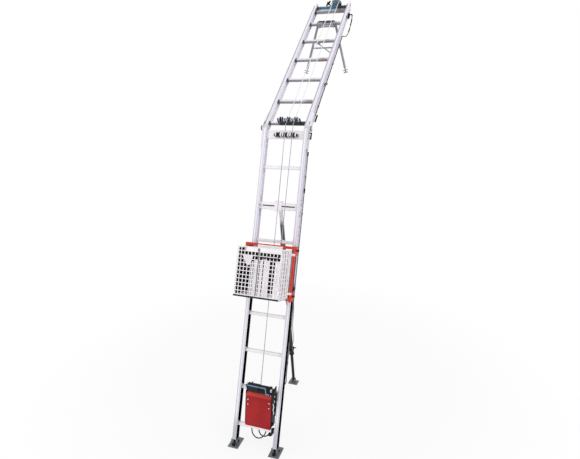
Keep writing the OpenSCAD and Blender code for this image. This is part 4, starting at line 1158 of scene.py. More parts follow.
@dataclass
class Winch:
    """Winch with its red cover, drum, guard, gear case and control box."""

    half: float = 120.0
    front: float = 36.0
    sheet: float = 3.0
    fold: float = 3.0
    outline: Outline = ((-305.0, -18.0), (-305.0, 36.0), (-38.0, 36.0), (4.0, 16.0), (4.0, -18.0))
    lip: Box = ((-120.0, -320.0, 33.0), (120.0, -299.0, 36.0))
    screw_x: float = 100.0
    screw_y: tuple[float, ...] = (-75.0, -120.0)
    dome_radius: float = 6.2
    dome_flat: float = 0.6
    dome_lift: float = 1.5
    washer: Outline = ((1.0, 0.0), (10.0, 0.0), (10.0, 1.2), (8.0, 2.0), (1.0, 2.0))
    bearing: float = -106.0
    cap: Outline = ((10.2, 0.5), (20.0, 0.5), (20.0, -4.0), (16.0, -7.0), (10.2, -7.0))
    cap_blocks: tuple[Box, ...] = (
        ((-109, 54, 36), (-96, 86, 56)), ((120, 50, 54), (133, 74, 80)), ((116, 6, 38), (124, 32, 66)))
    coil: tuple[float, float] = (-88.0, 1.4)
    coil_radius: float = 37.6
    rope_radius: float = 2.3
    turns: int = 18
    steps: int = 20
    pipe: tuple[Point, ...] = (
        (149, 8, 33), (142, -22, 37), (149, -46, 38), (139, -72, 37), (145, -98, 35), (139, -124, 34),
        (144, -150, 30), (141, -174, 24))
    pipe_radius: float = 5.5
    clamp: Box = ((127, -282, 2), (143, -262, 24))
    shoe: Box = ((144, FIRST_RUNG - 20, -54), (166, FIRST_RUNG + 20, -12))

    def build(self) -> None:
        """Paints the nodes and makes the cover, screws, bearing caps, coil and fittings."""
        paint(BLACK_ENAMEL, "winch_chassis", "rope_drum")
        paint(GUARD_BLUE, "drum_guard")
        paint(GEAR_DARK, "gear_motor")
        paint(MOULDED, "control_box")
        self.cover()
        self.screws()
        self.bearings()
        self.winding()
        self.fittings()

    def cover(self) -> None:
        """Folds the sheet cover: rounded edges, an open back and a lip in front of the first rung."""
        work = Workpiece("winch_cover_sheet", FRAMES.winch)
        ends = [[work.mesh.verts.new((x, y, z)) for y, z in self.outline] for x in (-self.half, self.half)]
        faces = [work.mesh.faces.new(end) for end in ends]
        for k in range(len(self.outline) - 1):
            faces.append(work.mesh.faces.new((ends[0][k], ends[1][k], ends[1][k + 1], ends[0][k + 1])))
        bmesh.ops.recalc_face_normals(work.mesh, faces=faces)
        folds = [e for e in work.mesh.edges if len(e.link_faces) == 2]
        bmesh.ops.bevel(work.mesh, geom=folds, offset=self.fold, segments=3, affect="EDGES", profile=0.5)
        piece = work.loose(COVER_RED)
        wall = piece.modifiers.new("sheet", "SOLIDIFY")
        wall.thickness = self.sheet * MM
        wall.offset = -1.0
        sheet = new_piece("winch_cover_fold", evaluated_mesh(piece), COVER_RED)
        lip = Workpiece("winch_cover_lip", FRAMES.winch).block(*self.lip, 1.0).loose(COVER_RED)
        settle(joined("winch_cover_sheet", [sheet, lip]), Body.LOWER, Slot.RED, "winch_cover")

    def screws(self) -> None:
        """Turns the four domed cover screws with their rubber washers."""
        heads = Workpiece("cover_screw_heads", FRAMES.winch)
        washers = Workpiece("cover_screw_washers", FRAMES.winch)
        for x in (-self.screw_x, self.screw_x):
            for y in self.screw_y:
                heads.ball((x, y, self.front + self.dome_lift), self.dome_radius, self.dome_flat)
                washers.lathe((x, y, self.front), Axis.Z, self.washer)
        heads.done(Body.LOWER, Slot.CHROME, POLISHED, "winch_screws")
        washers.done(Body.LOWER, Slot.BLACK, RUBBER)

    def bearings(self) -> None:
        """Turns the pale bearing cap at the drum's end and sets the blocks beside the drum."""
        caps = Workpiece("drum_bearing_caps", FRAMES.winch).lathe((self.bearing, *DRUM_AT), Axis.X, self.cap)
        for box in self.cap_blocks:
            caps.block(*box, 2.0)
        caps.done(Body.LOWER, Slot.GALVANISED, BRIGHT)

    def winding(self) -> None:
        """Winds the stored rope on the drum."""
        (start, end), (y, z) = self.coil, DRUM_AT
        count = self.turns * self.steps
        line = []
        for k in range(count + 1):
            angle = 2 * math.pi * k / self.steps
            line.append((start + (end - start) * k / count, y + self.coil_radius * math.cos(angle),
                         z + self.coil_radius * math.sin(angle)))
        coil = Workpiece("drum_winding", FRAMES.winch).sweep(line, self.rope_radius, 8)
        coil.done(Body.DRUM, Slot.ROPE, GREASED)

    def fittings(self) -> None:
        """Adds the bright pipe on the gear case and the two dark rung clamps under it."""
        pipe = Workpiece("gear_case_pipe", FRAMES.winch).sweep(self.pipe, self.pipe_radius)
        pipe.done(Body.LOWER, Slot.GALVANISED, BRIGHT)
        for name, place, box in (("winch_rung_clamps", FRAMES.winch, self.clamp),
                                 ("winch_rung_shoe", FRAMES.lower, self.shoe)):
            Workpiece(name, place).block(*box, 2.0).done(Body.LOWER, Slot.BLACK, BLACK_ENAMEL)


@dataclass
class Carriage:
    """Wheeled carriage that carries the basket."""

    wheel_x: float = 203.0
    wheel_n: float = 24.3
    counter_n: float = -19.3
    low_at: float = 1408.0
    top_at: float = 1812.0
    nut_x: float = 232.0
    nut: tuple[float, float] = (8.0, 6.0)
    half_wheel: Outline = (
        (5.05, 6.0), (11.0, 6.0), (12.0, 4.0), (17.0, 4.0), (18.0, 6.0), (22.0, 6.0), (24.0, 4.0))
    # Painted light: an orange strip along each side frame's edge.
    edge: Box = ((226.0, 1438.0, 60.0), (237.0, 1772.0, 78.0))
    # Painted shadow: a black strip beside it.
    line: Box = ((237.0, 1448.0, 58.0), (241.0, 1762.0, 72.0))
    plate: Box = ((-115.0, 1808.0, 84.5), (120.0, 1834.0, 87.5))

    def build(self) -> None:
        """Paints the frame, turns the wheels and adds axle nuts, side strips of painted light and painted
        shadow, and the bar's plate.
        """
        paint(FRAME_RED, "carriage_frame")
        paint(MOULDED, "counter_wheels")
        for level, at in (("top", self.top_at), ("low", self.low_at)):
            for word, side in SIDES:
                self.wheel(f"wheel_{level}_{word}", side * self.wheel_x, at)
        points = [(side * self.nut_x, at, n) for side in (-1, 1) for at in (self.low_at, self.top_at)
                  for n in (self.wheel_n, self.counter_n)]
        nuts = fasteners("axle_nuts", points, Axis.X, FRAMES.lower, BLACK_ENAMEL, *self.nut)
        settle(nuts, Body.CARRIAGE, Slot.BLACK)
        self.side_strips("carriage_side_lit_edge", self.edge, 1.5, Slot.RED, EDGE_ORANGE)
        plate = Workpiece("carriage_bar_plate", FRAMES.lower).block(*self.plate, 0.8)
        plate.done(Body.CARRIAGE, Slot.GALVANISED, WIRE_ZINC)
        self.side_strips("carriage_side_shadow_line", self.line, 1.0, Slot.BLACK, BLACK_ENAMEL)

    def side_strips(self, name: str, box: Box, bevel: float, slot: Slot, finish: Finish) -> None:
        """Lays a strip along both sides of the frame.

        Args:
            name: Name of the piece.
            box: Two corners of the right strip.
            bevel: Width of its softened edges.
            slot: Slot of the record.
            finish: Its surface.
        """
        strip = Workpiece(name, FRAMES.lower)
        for side in (-1, 1):
            strip.block(*((side * x, y, z) for x, y, z in box), bevel)
        strip.done(Body.CARRIAGE, slot, finish)

    def wheel(self, node: str, x: float, at: float) -> None:
        """Turns one running wheel with a rounded tread and a recessed web.

        Args:
            node: Node that it stands for.
            x: Its middle across the ladder.
            at: Its height along the ladder.
        """
        profile = (*((r, -h) for r, h in self.half_wheel), *reversed(self.half_wheel))
        wheel = Workpiece(node + "_tyre", FRAMES.lower).lathe((x, at, self.wheel_n), Axis.X, profile)
        wheel.done(node + "_body", Slot.PLASTIC, MOULDED, node)


@dataclass(frozen=True)
class Leaf:
    """One leaf of the basket's gate, with the sheet plates on its wires; its pale fill plates are painted
    reflections of glare.
    """

    word: str
    side: int
    body: Body
    rim: Outline
    # Pale plates behind the wires: painted reflections of glare on the mesh.
    glare_fills: tuple[Outline, ...]


@dataclass
class Basket:
    """Welded wire basket with a liner, and a two-leaf gate with sign plate and latch."""

    half: float = 204.0
    low: float = 1391.0
    high: float = 1811.0
    back: float = 88.0
    front: float = 316.0
    gate_x: float = 196.0
    gate_n: float = 320.0
    gate_low: float = 1405.0
    gate_gap: float = 4.5
    wire: float = 7.0
    rod: float = 4.5
    cells: int = 12
    deep_cells: int = 7
    arm_at: tuple[float, ...] = (1427.0, 1763.0)
    arm_x: tuple[float, float] = (174.0, 236.0)
    arm_wide: float = 20.0
    arm_deep: float = 4.0
    hinge_at: tuple[float, ...] = (1451.0, 1721.0)
    knuckle: Outline = ((4.1, 0.3), (7.0, 0.3), (7.0, 21.7), (4.1, 21.7))
    knuckle_radius: float = 7.0
    pin_radius: float = 4.0
    knob: tuple[float, float] = (16.0, 1622.0)
    knob_radius: float = 5.0
    knob_length: float = 14.0
    rim_span: tuple[float, float] = (324.0, 326.0)
    fill_span: tuple[float, float] = (314.0, 316.0)
    sign_span: tuple[float, float] = (323.0, 329.0)
    lip_x: tuple[float, float] = (1.2, 5.5)
    latch_n: float = 328.0
    sign: Outline = ((-146, 1741), (-50, 1745), (-68, 1666), (-84, 1658), (-101, 1660))
    latch: tuple[tuple[Outline, float], ...] = (
        (((16, 1733), (182, 1733)), 4.0), (((182, 1733), (168, 1748)), 3.0),
        (((182, 1733), (168, 1718)), 3.0))
    leaves: tuple[Leaf, ...] = (
        Leaf("left", -1, Body.LEFT_GATE, ((-119, 1772), (-12, 1772), (-12, 1810), (-119, 1810)), (
            ((-60, 1690), (-47, 1696), (-47, 1412), (-62, 1412)),
            ((-37, 1700), (-6, 1712), (-6, 1412), (-37, 1412)))),
        Leaf("right", 1, Body.RIGHT_GATE, ((10, 1774), (192, 1774), (192, 1810), (10, 1810)), (
            ((14, 1708), (40, 1720), (40, 1412), (14, 1412)),
            ((48, 1724), (98, 1704), (102, 1412), (48, 1412)),
            ((148, 1712), (190, 1716), (190, 1412), (144, 1412)))))

    def build(self) -> None:
        """Makes the panels, the gate, the floor and the liner."""
        self.back_panel()
        for leaf in self.leaves:
            self.side_panel(leaf)
            self.gate(leaf)
        self.floor()
        self.liner()

    def panel(self, name: str, box: Box, across: Point, columns: int, rows: int,
              wire: float) -> bpy.types.Object:
        """Weaves a wire panel over a flat box of the ladder frame.

        Args:
            name: Name of the piece.
            box: Two opposite corners.
            across: Direction of its width.
            columns: Openings across.
            rows: Openings along the other direction.
            wire: Diameter of a wire.

        Returns:
            A piece on no body yet.
        """
        corner, reach = Vector(box[0]), Vector(box[1]) - Vector(box[0])
        first = Vector(across)
        wide = reach.dot(first)
        rest = reach - first * wide
        second = rest.normalized()
        turn = Matrix((first, second, first.cross(second))).transposed().to_4x4()
        place = FRAMES.lower @ Matrix.Translation(corner * MM) @ turn
        return wire_panel(name, wide, rest.length, columns, rows, wire, place)

    def edging(self, name: str, corners: Sequence[Point]) -> bpy.types.Object:
        """Bends a closed frame of rod through corners of the ladder frame.

        Args:
            name: Name of the piece.
            corners: Its corners in order.

        Returns:
            A piece on no body yet.
        """
        rods = Workpiece(name, FRAMES.lower)
        for first, last in zip(corners, [*corners[1:], corners[0]]):
            rods.bar(first, last, self.rod, 10).ball(first, self.rod * 1.04)
        return rods.loose(WIRE_ZINC)

    def back_panel(self) -> None:
        """Makes the back panel with its arms to the carriage."""
        n, x, low, high = self.back + 2.5, self.half - 5, self.low + 5, self.high - 5
        corners = [(-x, low, n), (x, low, n), (x, high, n), (-x, high, n)]
        wires = self.panel("back_wires", (corners[0], corners[2]), (1, 0, 0), self.cells, self.cells,
                           self.wire - 2)
        edge = self.edging("back_edge", corners)
        arms = Workpiece("back_arms", FRAMES.lower)
        inner, outer = self.arm_x
        for side in (-1, 1):
            for at in self.arm_at:
                arms.block((side * outer, at, self.back - self.arm_deep),
                           (side * inner, at + self.arm_wide, self.back), 1.0)
        whole = joined("basket_back_wires", [wires, edge, arms.loose(WIRE_ZINC)])
        settle(whole, Body.CARRIAGE, Slot.GALVANISED, "basket_back")

    def side_panel(self, leaf: Leaf) -> None:
        """Makes one side panel with its hinge knuckles.

        Args:
            leaf: The gate leaf on that side.
        """
        x, low, high, front = leaf.side * (self.half - 3), self.low + 4, self.high - 4, self.front - 7
        wires = self.panel(f"{leaf.word}_wires", ((x, low, self.back + 5), (x, high, front)), (0, 0, 1),
                           self.deep_cells, self.cells, self.wire - 1)
        back = self.back + 6
        corners = [(x, low, back), (x, low, front), (x, high, front), (x, high, back)]
        edge = self.edging(f"{leaf.word}_edge", corners)
        posts = Workpiece(f"{leaf.word}_knuckles", FRAMES.lower)
        pin = leaf.side * self.gate_x
        for at in self.hinge_at:
            posts.bar((pin, at - 12, self.gate_n), (pin, at - 1, self.gate_n), self.knuckle_radius)
            posts.bar((pin, at - 6, self.gate_n), (pin, at + 28, self.gate_n), self.pin_radius)
            posts.block((leaf.side * (self.half - 5), at - 12, self.front - 8),
                        (leaf.side * self.half, at - 1, self.gate_n), 0.8)
        whole = joined(f"basket_{leaf.word}_wires", [wires, edge, posts.loose(WIRE_ZINC)])
        settle(whole, Body.CARRIAGE, Slot.GALVANISED, f"basket_{leaf.word}")

    def gate(self, leaf: Leaf) -> None:
        """Makes one gate leaf with its frame, plates, lip and what is on it.

        Args:
            leaf: The leaf.
        """
        n, low, high = self.gate_n, self.gate_low + 3, self.high - 3
        first, last = sorted((leaf.side * self.gate_gap, leaf.side * (self.gate_x - 3)))
        wires = self.panel(f"gate_{leaf.word}_mesh", ((first, low, n), (last, high, n)), (1, 0, 0),
                           self.cells // 2, self.cells, self.wire)
        edge = self.edging(f"gate_{leaf.word}_edge",
                           [(first, low, n), (last, low, n), (last, high, n), (first, high, n)])
        plates = Workpiece(f"gate_{leaf.word}_plates", FRAMES.lower).plate(leaf.rim, *self.rim_span, 0.6)
        # The pale fill plates are painted glare on the mesh.
        for outline in leaf.glare_fills:
            plates.plate(outline, *self.fill_span, 0.5)
        for at in self.hinge_at:
            plates.lathe((leaf.side * self.gate_x, at, n), Axis.Y, self.knuckle, 20)
        x, at = self.knob
        plates.bar((leaf.side * x, at, n), (leaf.side * x, at, n + self.knob_length), self.knob_radius)
        whole = joined(f"gate_{leaf.word}_wires", [wires, edge, plates.loose(WIRE_ZINC)])
        settle(whole, leaf.body, Slot.GALVANISED, f"gate_{leaf.word}")
        if leaf.side < 0:
            sign = Workpiece("gate_sign_plate", FRAMES.lower).plate(self.sign, *self.sign_span, 0.6)
            sign.done(leaf.body, Slot.GALVANISED, SIGN_WHITE)
        lip = Workpiece(f"gate_{leaf.word}_lip", FRAMES.lower)
        near, far = (leaf.side * x for x in self.lip_x)
        lip.block((near, self.gate_low + 6, n + 4), (far, self.high - 8, n + 7), 0.8)
        lip.done(leaf.body, Slot.LEAD, SEAM_GREY)
        if leaf.side > 0:
            latch = Workpiece("gate_latch_bar", FRAMES.lower)
            for (start, end), radius in self.latch:
                latch.bar((*start, self.latch_n), (*end, self.latch_n), radius)
            latch.done(leaf.body, Slot.BLACK, BLACK_ENAMEL)

    def floor(self) -> None:
        """Makes the wire floor, the dark angle around its edges and the skirt on its right."""
        half, low, back, front = self.half, self.low, self.back, self.front
        box = ((8 - half, low + 4, back + 8), (half - 8, low + 4, front - 8))
        wires = self.panel("basket_floor_wires", box, (1, 0, 0), self.cells, self.deep_cells, self.wire - 1)
        settle(wires, Body.CARRIAGE, Slot.GALVANISED, "basket_floor")
        angle = Workpiece("basket_floor_angle", FRAMES.lower)
        angle.block((1 - half, low - 2, front - 6), (half - 1, low + 11, front + 3), 1.5)
        for side in (-1, 1):
            angle.block((side * (half - 1), low - 2, back + 4), (side * (half - 7), low + 8, front - 5), 1.0)
        angle.done(Body.CARRIAGE, Slot.BLACK, FLOOR_EDGE)
        skirt = Workpiece("basket_floor_skirt", FRAMES.lower)
        skirt.block((half - 1, low - 2, back + 8), (half + 1.5, low + 5, front - 4), 0.5)
        skirt.done(Body.CARRIAGE, Slot.BLUE, SKIRT_BLUE)

    def liner(self) -> None:
        """Lays the dark rubber liner on the back and left, whose darkness also stands for the shade inside
        the basket, and pale sheet strips on the right as painted reflections.
        """
        half, low, high, back = self.half, self.low + 14, self.high, self.back
        # The dark liner is a backing, and its darkness is also painted shade inside the basket.
        mat = Workpiece("basket_liner", FRAMES.lower)
        mat.block((12 - half, low, back + 8), (half - 14, high - 12, back + 11), 1.0)
        mat.block((9 - half, low, back + 12), (12 - half, high - 12, back + 206), 1.0)
        mat.done(Body.CARRIAGE, Slot.LEAD, RUBBER)
        # Pale strips: painted glare on the right side's mesh.
        sheet = Workpiece("basket_side_glare_sheet", FRAMES.lower)
        step = (self.front - back - 12) / self.deep_cells
        for k in range(0, self.deep_cells, 2):
            start = back + 5 + k * step
            sheet.block((half - 12, low, start + 3), (half - 10, high - 14, start + step), 0.5)
        sheet.done(Body.CARRIAGE, Slot.GALVANISED, WIRE_ZINC)


@dataclass
class Pulley:
    """One guide pulley: a black wheel, with pale rims above the knee that partly stand for painted highlights
    on its edges.
    """

    node: str
    body: str
    place: Matrix
    middle: Point
    half_wheel: Outline = ((6.05, 13.0), (22.0, 13.0), (24.0, 11.5), (24.0, 9.0), (18.5, 5.0), (17.0, 3.0))
    rim: Outline = ((22.0, 12.2), (25.0, 12.0), (25.0, 10.8), (22.0, 10.6))
    facets: int = 36

    def wheel(self) -> None:
        """Turns the wheel with its groove."""
        profile = (*((r, -h) for r, h in self.half_wheel), *reversed(self.half_wheel))
        wheel = Workpiece(self.node + "_wheel", self.place).lathe(self.middle, Axis.X, profile, self.facets)
        wheel.done(self.body, Slot.PLASTIC, MOULDED, self.node)

    def rims(self) -> None:
        """Turns the two bright rims, which also give the wheel's edges a painted highlight."""
        rims = Workpiece(self.node + "_rims", self.place)
        for side in (-1, 1):
            rims.lathe(self.middle, Axis.X, self.rim, self.facets, side)
        rims.done(self.body, Slot.GALVANISED, BRIGHT)


@dataclass
class Knee:
    """Knee joint: pulleys below and above it, and the pivots' clamp knobs."""

    pulley_x: tuple[float, ...] = (-55.0, 15.0, 85.0)
    knob_face: float = RAIL_OUTER + 30
    knob_cap: Outline = ((2.0, 0.0), (15.0, 0.0), (17.0, 1.5), (15.0, 4.0), (6.0, 6.0), (2.0, 6.5))
    knob_rim: Outline = ((21.0, -9.0), (24.5, -8.0), (24.5, -2.0), (21.0, -0.5))
    bush_spans: Outline = (
        (-83.0, -71.0), (-39.0, -23.5), (-16.5, -1.0), (31.0, 46.5), (53.5, 69.0), (101.0, 116.0))
    bush_radii: tuple[float, float, float] = (6.0, 11.0, 12.5)
    bush_taper: float = 2.0
    bush_facets: int = 28
    cable_x: float = RAIL_OUTER + 6
    cable_n: float = -RAIL_DEPTH + 4
    lower_sleeves: tuple[Point, ...] = ((KNEE_AT - 240, KNEE_AT - 204, 6.5), (2330.0, 2370.0, 7.0))
    upper_cable: tuple[float, float] = (RAIL_OUTER + 24, -MID_DEPTH + 6)
    upper_sleeve: Point = (128.0, 214.0, 7.0)
    lever_pin: Box = ((RAIL_OUTER + 5, KNEE_AT - 34, -58.0), (RAIL_OUTER + 26, KNEE_AT - 34, -58.0))
    lever_arm: Box = ((RAIL_OUTER + 22, KNEE_AT - 30, -58.0), (RAIL_OUTER + 18, KNEE_AT - 92, -58.0))
    lever_radii: tuple[float, float, float] = (5.0, 6.0, 8.0)

    def build(self) -> None:
        """Makes the pulleys, the knobs, the bushes, the dark sleeves on the cable and the lever."""
        paint(ZINC, "knee_pins")
        paint(BLACK_ENAMEL, "upper_pulley_bracket", "lower_pulley_bracket")
        low_axle, high_axle = (PULLEY_AT, PULLEY_OUT), (UPPER_PULLEY_AT, UPPER_PULLEY_OUT)
        for k, x in enumerate(self.pulley_x, 1):
            Pulley(f"lower_pulley_{k}", f"lower_roller_{k}", FRAMES.lower, (x, *low_axle)).wheel()
            upper = Pulley(f"upper_pulley_{k}", f"upper_roller_{k}", FRAMES.upper, (x, *high_axle))
            upper.wheel()
            upper.rims()
        self.knobs("knee_knob_caps", self.knob_cap, Slot.CHROME, POLISHED)
        self.knobs("knee_knob_rims", self.knob_rim, Slot.BLACK, BLACK_ENAMEL)
        # The bushes are spacers whose pale colour also gives a painted highlight between the pulleys.
        self.bushes("lower_axle_bushes", Body.LOWER, FRAMES.lower, (0, *low_axle), WIRE_ZINC)
        self.bushes("upper_axle_bushes", Body.UPPER, FRAMES.upper, (0, *high_axle), SLEEVE_BLUE)
        self.sleeves()
        self.lever()

    def knobs(self, name: str, profile: Outline, slot: Slot, finish: Finish) -> None:
        """Turns one part of the clamp knob on both pivots.

        Args:
            name: Name of the piece.
            profile: Pairs of radius and height over the knob's face.
            slot: Slot of the record.
            finish: Its surface.
        """
        work = Workpiece(name, FRAMES.upper)
        for side in (-1, 1):
            work.lathe((side * self.knob_face, 0, 0), Axis.X, profile, side=side)
        work.done(Body.LOWER, slot, finish)

    def bushes(self, name: str, body: Body, place: Matrix, middle: Point, finish: Finish) -> None:
        """Puts pale bushes on one axle between the pulleys; their pale colour is partly painted highlight.

        Args:
            name: Name of the piece.
            body: Body that carries the axle.
            place: Frame of the axle.
            middle: The axle's middle.
            finish: Their surface.
        """
        bush = Workpiece(name, place)
        bore, end, belly = self.bush_radii
        for first, last in self.bush_spans:
            profile = ((bore, first), (end, first), (belly, first + self.bush_taper),
                       (belly, last - self.bush_taper), (end, last), (bore, last))
            bush.lathe(middle, Axis.X, profile, self.bush_facets)
        bush.done(body, Slot.GALVANISED, finish)

    def sleeves(self) -> None:
        """Slides dark sleeves over the clipped cable near the knee."""
        x, n = self.upper_cable
        first, last, radius = self.upper_sleeve
        upper = Workpiece("cable_sleeve_upper", FRAMES.upper).bar((x, first, n), (x, last, n), radius)
        upper.done(Body.UPPER, Slot.LEAD, RUBBER)
        lower = Workpiece("cable_sleeve_lower", FRAMES.lower)
        for first, last, radius in self.lower_sleeves:
            lower.bar((self.cable_x, first, self.cable_n), (self.cable_x, last, self.cable_n), radius)
        lower.done(Body.LOWER, Slot.LEAD, RUBBER)

    def lever(self) -> None:
        """Makes the lever beside the right pivot, thicker towards its end."""
        pin, thin, thick = self.lever_radii
        lever = Workpiece("knee_lever", FRAMES.lower).bar(*self.lever_pin, pin)
        lever.bar(*self.lever_arm, thin, tip=thick)
        lever.done(Body.LOWER, Slot.BLACK, BLACK_ENAMEL)


@dataclass(frozen=True)
class SlotRow:
    """A row of equal small blocks on the roof bracket: black blocks of painted shade in its openings, or
    painted rib ends.
    """

    name: str
    across: tuple[float, ...]
    along: float
    out: float
    size: Point
    slot: Slot = Slot.BLACK
    finish: Finish = BLACK_ENAMEL


@dataclass
class UpperLadder:
    """Upper ladder with the roof bracket and the hanging roof support."""

    bracket_at: float = 374.0 + 4 * RUNG_PITCH
    bracket_face: float = RUNG_SIZE / 2
    slot_rows: tuple[SlotRow, ...] = (
        # Black blocks stand for the bracket's openings: painted shade.
        SlotRow("roof_bracket_slot_shade", (-66, -22, 22, 66), 14, 7.0, (39, 24, 5.2)),
        SlotRow("roof_bracket_lower_slot_shade", (-20, 20, 60), -15, 7.0, (33, 16, 5.2)),
        SlotRow("roof_bracket_ends", (-95, 95), 18, 6.8, (11, 11, 1.6), Slot.RED, EDGE_ORANGE))
    hook_at: Point = (RAIL_OUTER + 15, 650.0, -8.0)
    hook_radius: float = 15.0
    hook_arc: float = 1.5 * math.pi
    hook_steps: int = 15
    hook_wire: float = 3.0
    hook_boss: Box = ((-1.0, -10.0, 0.0), (4.0, -10.0, 0.0))
    boss_radius: float = 8.0
    eye_at: float = 2084.0
    eye_ring: Outline = (
        (8.0, -7.0), (15.0, -7.0), (15.0, -6.0), (12.9, -6.0), (12.9, 6.0), (15.0, 6.0), (15.0, 7.0),
        (8.0, 7.0))

    def build(self) -> None:
        """Paints the nodes and adds the bracket's slots, the cable hook and the eyes' bushes."""
        paint(UPPER_METAL, "upper_rails")
        paint(UPPER_RUNG_METAL, "upper_rungs")
        paint(BRACKET_GREY, "roof_bracket")
        paint(LEG_GREY, "roof_support", "roof_foot_left", "roof_foot_right")
        paint(MOULDED, "limit_switch")
        for row in self.slot_rows:
            self.slots(row)
        self.hook()
        self.eyes()

    def slots(self, row: SlotRow) -> None:
        """Sets one row of small blocks on the roof bracket.

        Args:
            row: Their places over the bracket's middle, size and finish.
        """
        points = [(x, self.bracket_at + row.along, self.bracket_face + row.out) for x in row.across]
        settle(strips(row.name, points, row.size, FRAMES.upper, row.finish), Body.UPPER, row.slot)

    def hook(self) -> None:
        """Bends the open hook on the right rail that the cable hangs in."""
        x, y, n = self.hook_at
        turns = [self.hook_arc * k / self.hook_steps for k in range(self.hook_steps + 1)]
        line = [(x - self.hook_radius * math.cos(a), y + self.hook_radius * math.sin(a), n) for a in turns]
        hook = Workpiece("cable_hook", FRAMES.upper).sweep(line, self.hook_wire)
        hook.bar(*(Vector((RAIL_OUTER, y, n)) + Vector(end) for end in self.hook_boss), self.boss_radius)
        hook.done(Body.UPPER, Slot.BLACK, BLACK_ENAMEL)

    def eyes(self) -> None:
        """Turns the rubber bushes in the eyes at the rails' top ends."""
        eyes = Workpiece("rail_eye_bushes", FRAMES.upper)
        for side in (-1, 1):
            eyes.lathe((side * RAIL_X, self.eye_at, 0), Axis.X, self.eye_ring)
        eyes.done(Body.UPPER, Slot.LEAD, RUBBER)


@dataclass
class Head:
    """Head beam with return sheave, clamp levers and star knobs."""

    bar_at: float = 1964.0
    bar_face: float = 18.8
    bar_half: float = 170.0
    ribs: int = 24
    rib: Point = (5.0, 26.0, 1.6)
    screw_radius: float = 6.0
    hub_radius: float = 15.0
    hub_half: float = 9.0
    arm_reach: float = 25.0
    arm_radii: tuple[float, float] = (10.0, 9.0)
    arm_facets: int = 12
    knobs: tuple[tuple[str, Point, Point], ...] = (
        ("head_knob_left", (-8, 2036, 18), (-46, 2062, 42)),
        ("head_knob_right", (112, 2030, 18), (96, 1994, 44)))

    def build(self) -> None:
        """Paints the nodes and adds the ribs and the star knobs."""
        paint(HEAD_BLUE, "head_frame")
        paint(MOULDED, "clamp_left", "clamp_right")
        paint(CASTING, "head_sheave")
        step = 2 * self.bar_half / self.ribs
        points = [(step * (k + 0.5) - self.bar_half, self.bar_at, self.bar_face) for k in range(self.ribs)]
        settle(strips("top_bar_ribs", points, self.rib, FRAMES.upper, GREY_ENAMEL), Body.UPPER, Slot.GREY)
        for name, foot, end in self.knobs:
            self.star_knob(name, Vector(foot), Vector(end))

    def star_knob(self, name: str, foot: Vector, end: Vector) -> None:
        """Makes a screw with a four-armed knob on its end.

        Args:
            name: Name of the piece.
            foot: Where the screw starts.
            end: Middle of the knob.
        """
        way = (end - foot).normalized()
        side = way.orthogonal().normalized()
        other = way.cross(side)
        thick, thin = self.arm_radii
        knob = Workpiece(name, FRAMES.upper).bar(foot, end, self.screw_radius)
        knob.bar(end - way * self.hub_half, end + way * self.hub_half, self.hub_radius)
        for arm in (side, -side, other, -other):
            tip = end + arm * self.arm_reach
            knob.bar(end, tip, thick, self.arm_facets, thin).ball(tip, thick)
        knob.done(Body.UPPER, Slot.PLASTIC, MOULDED)


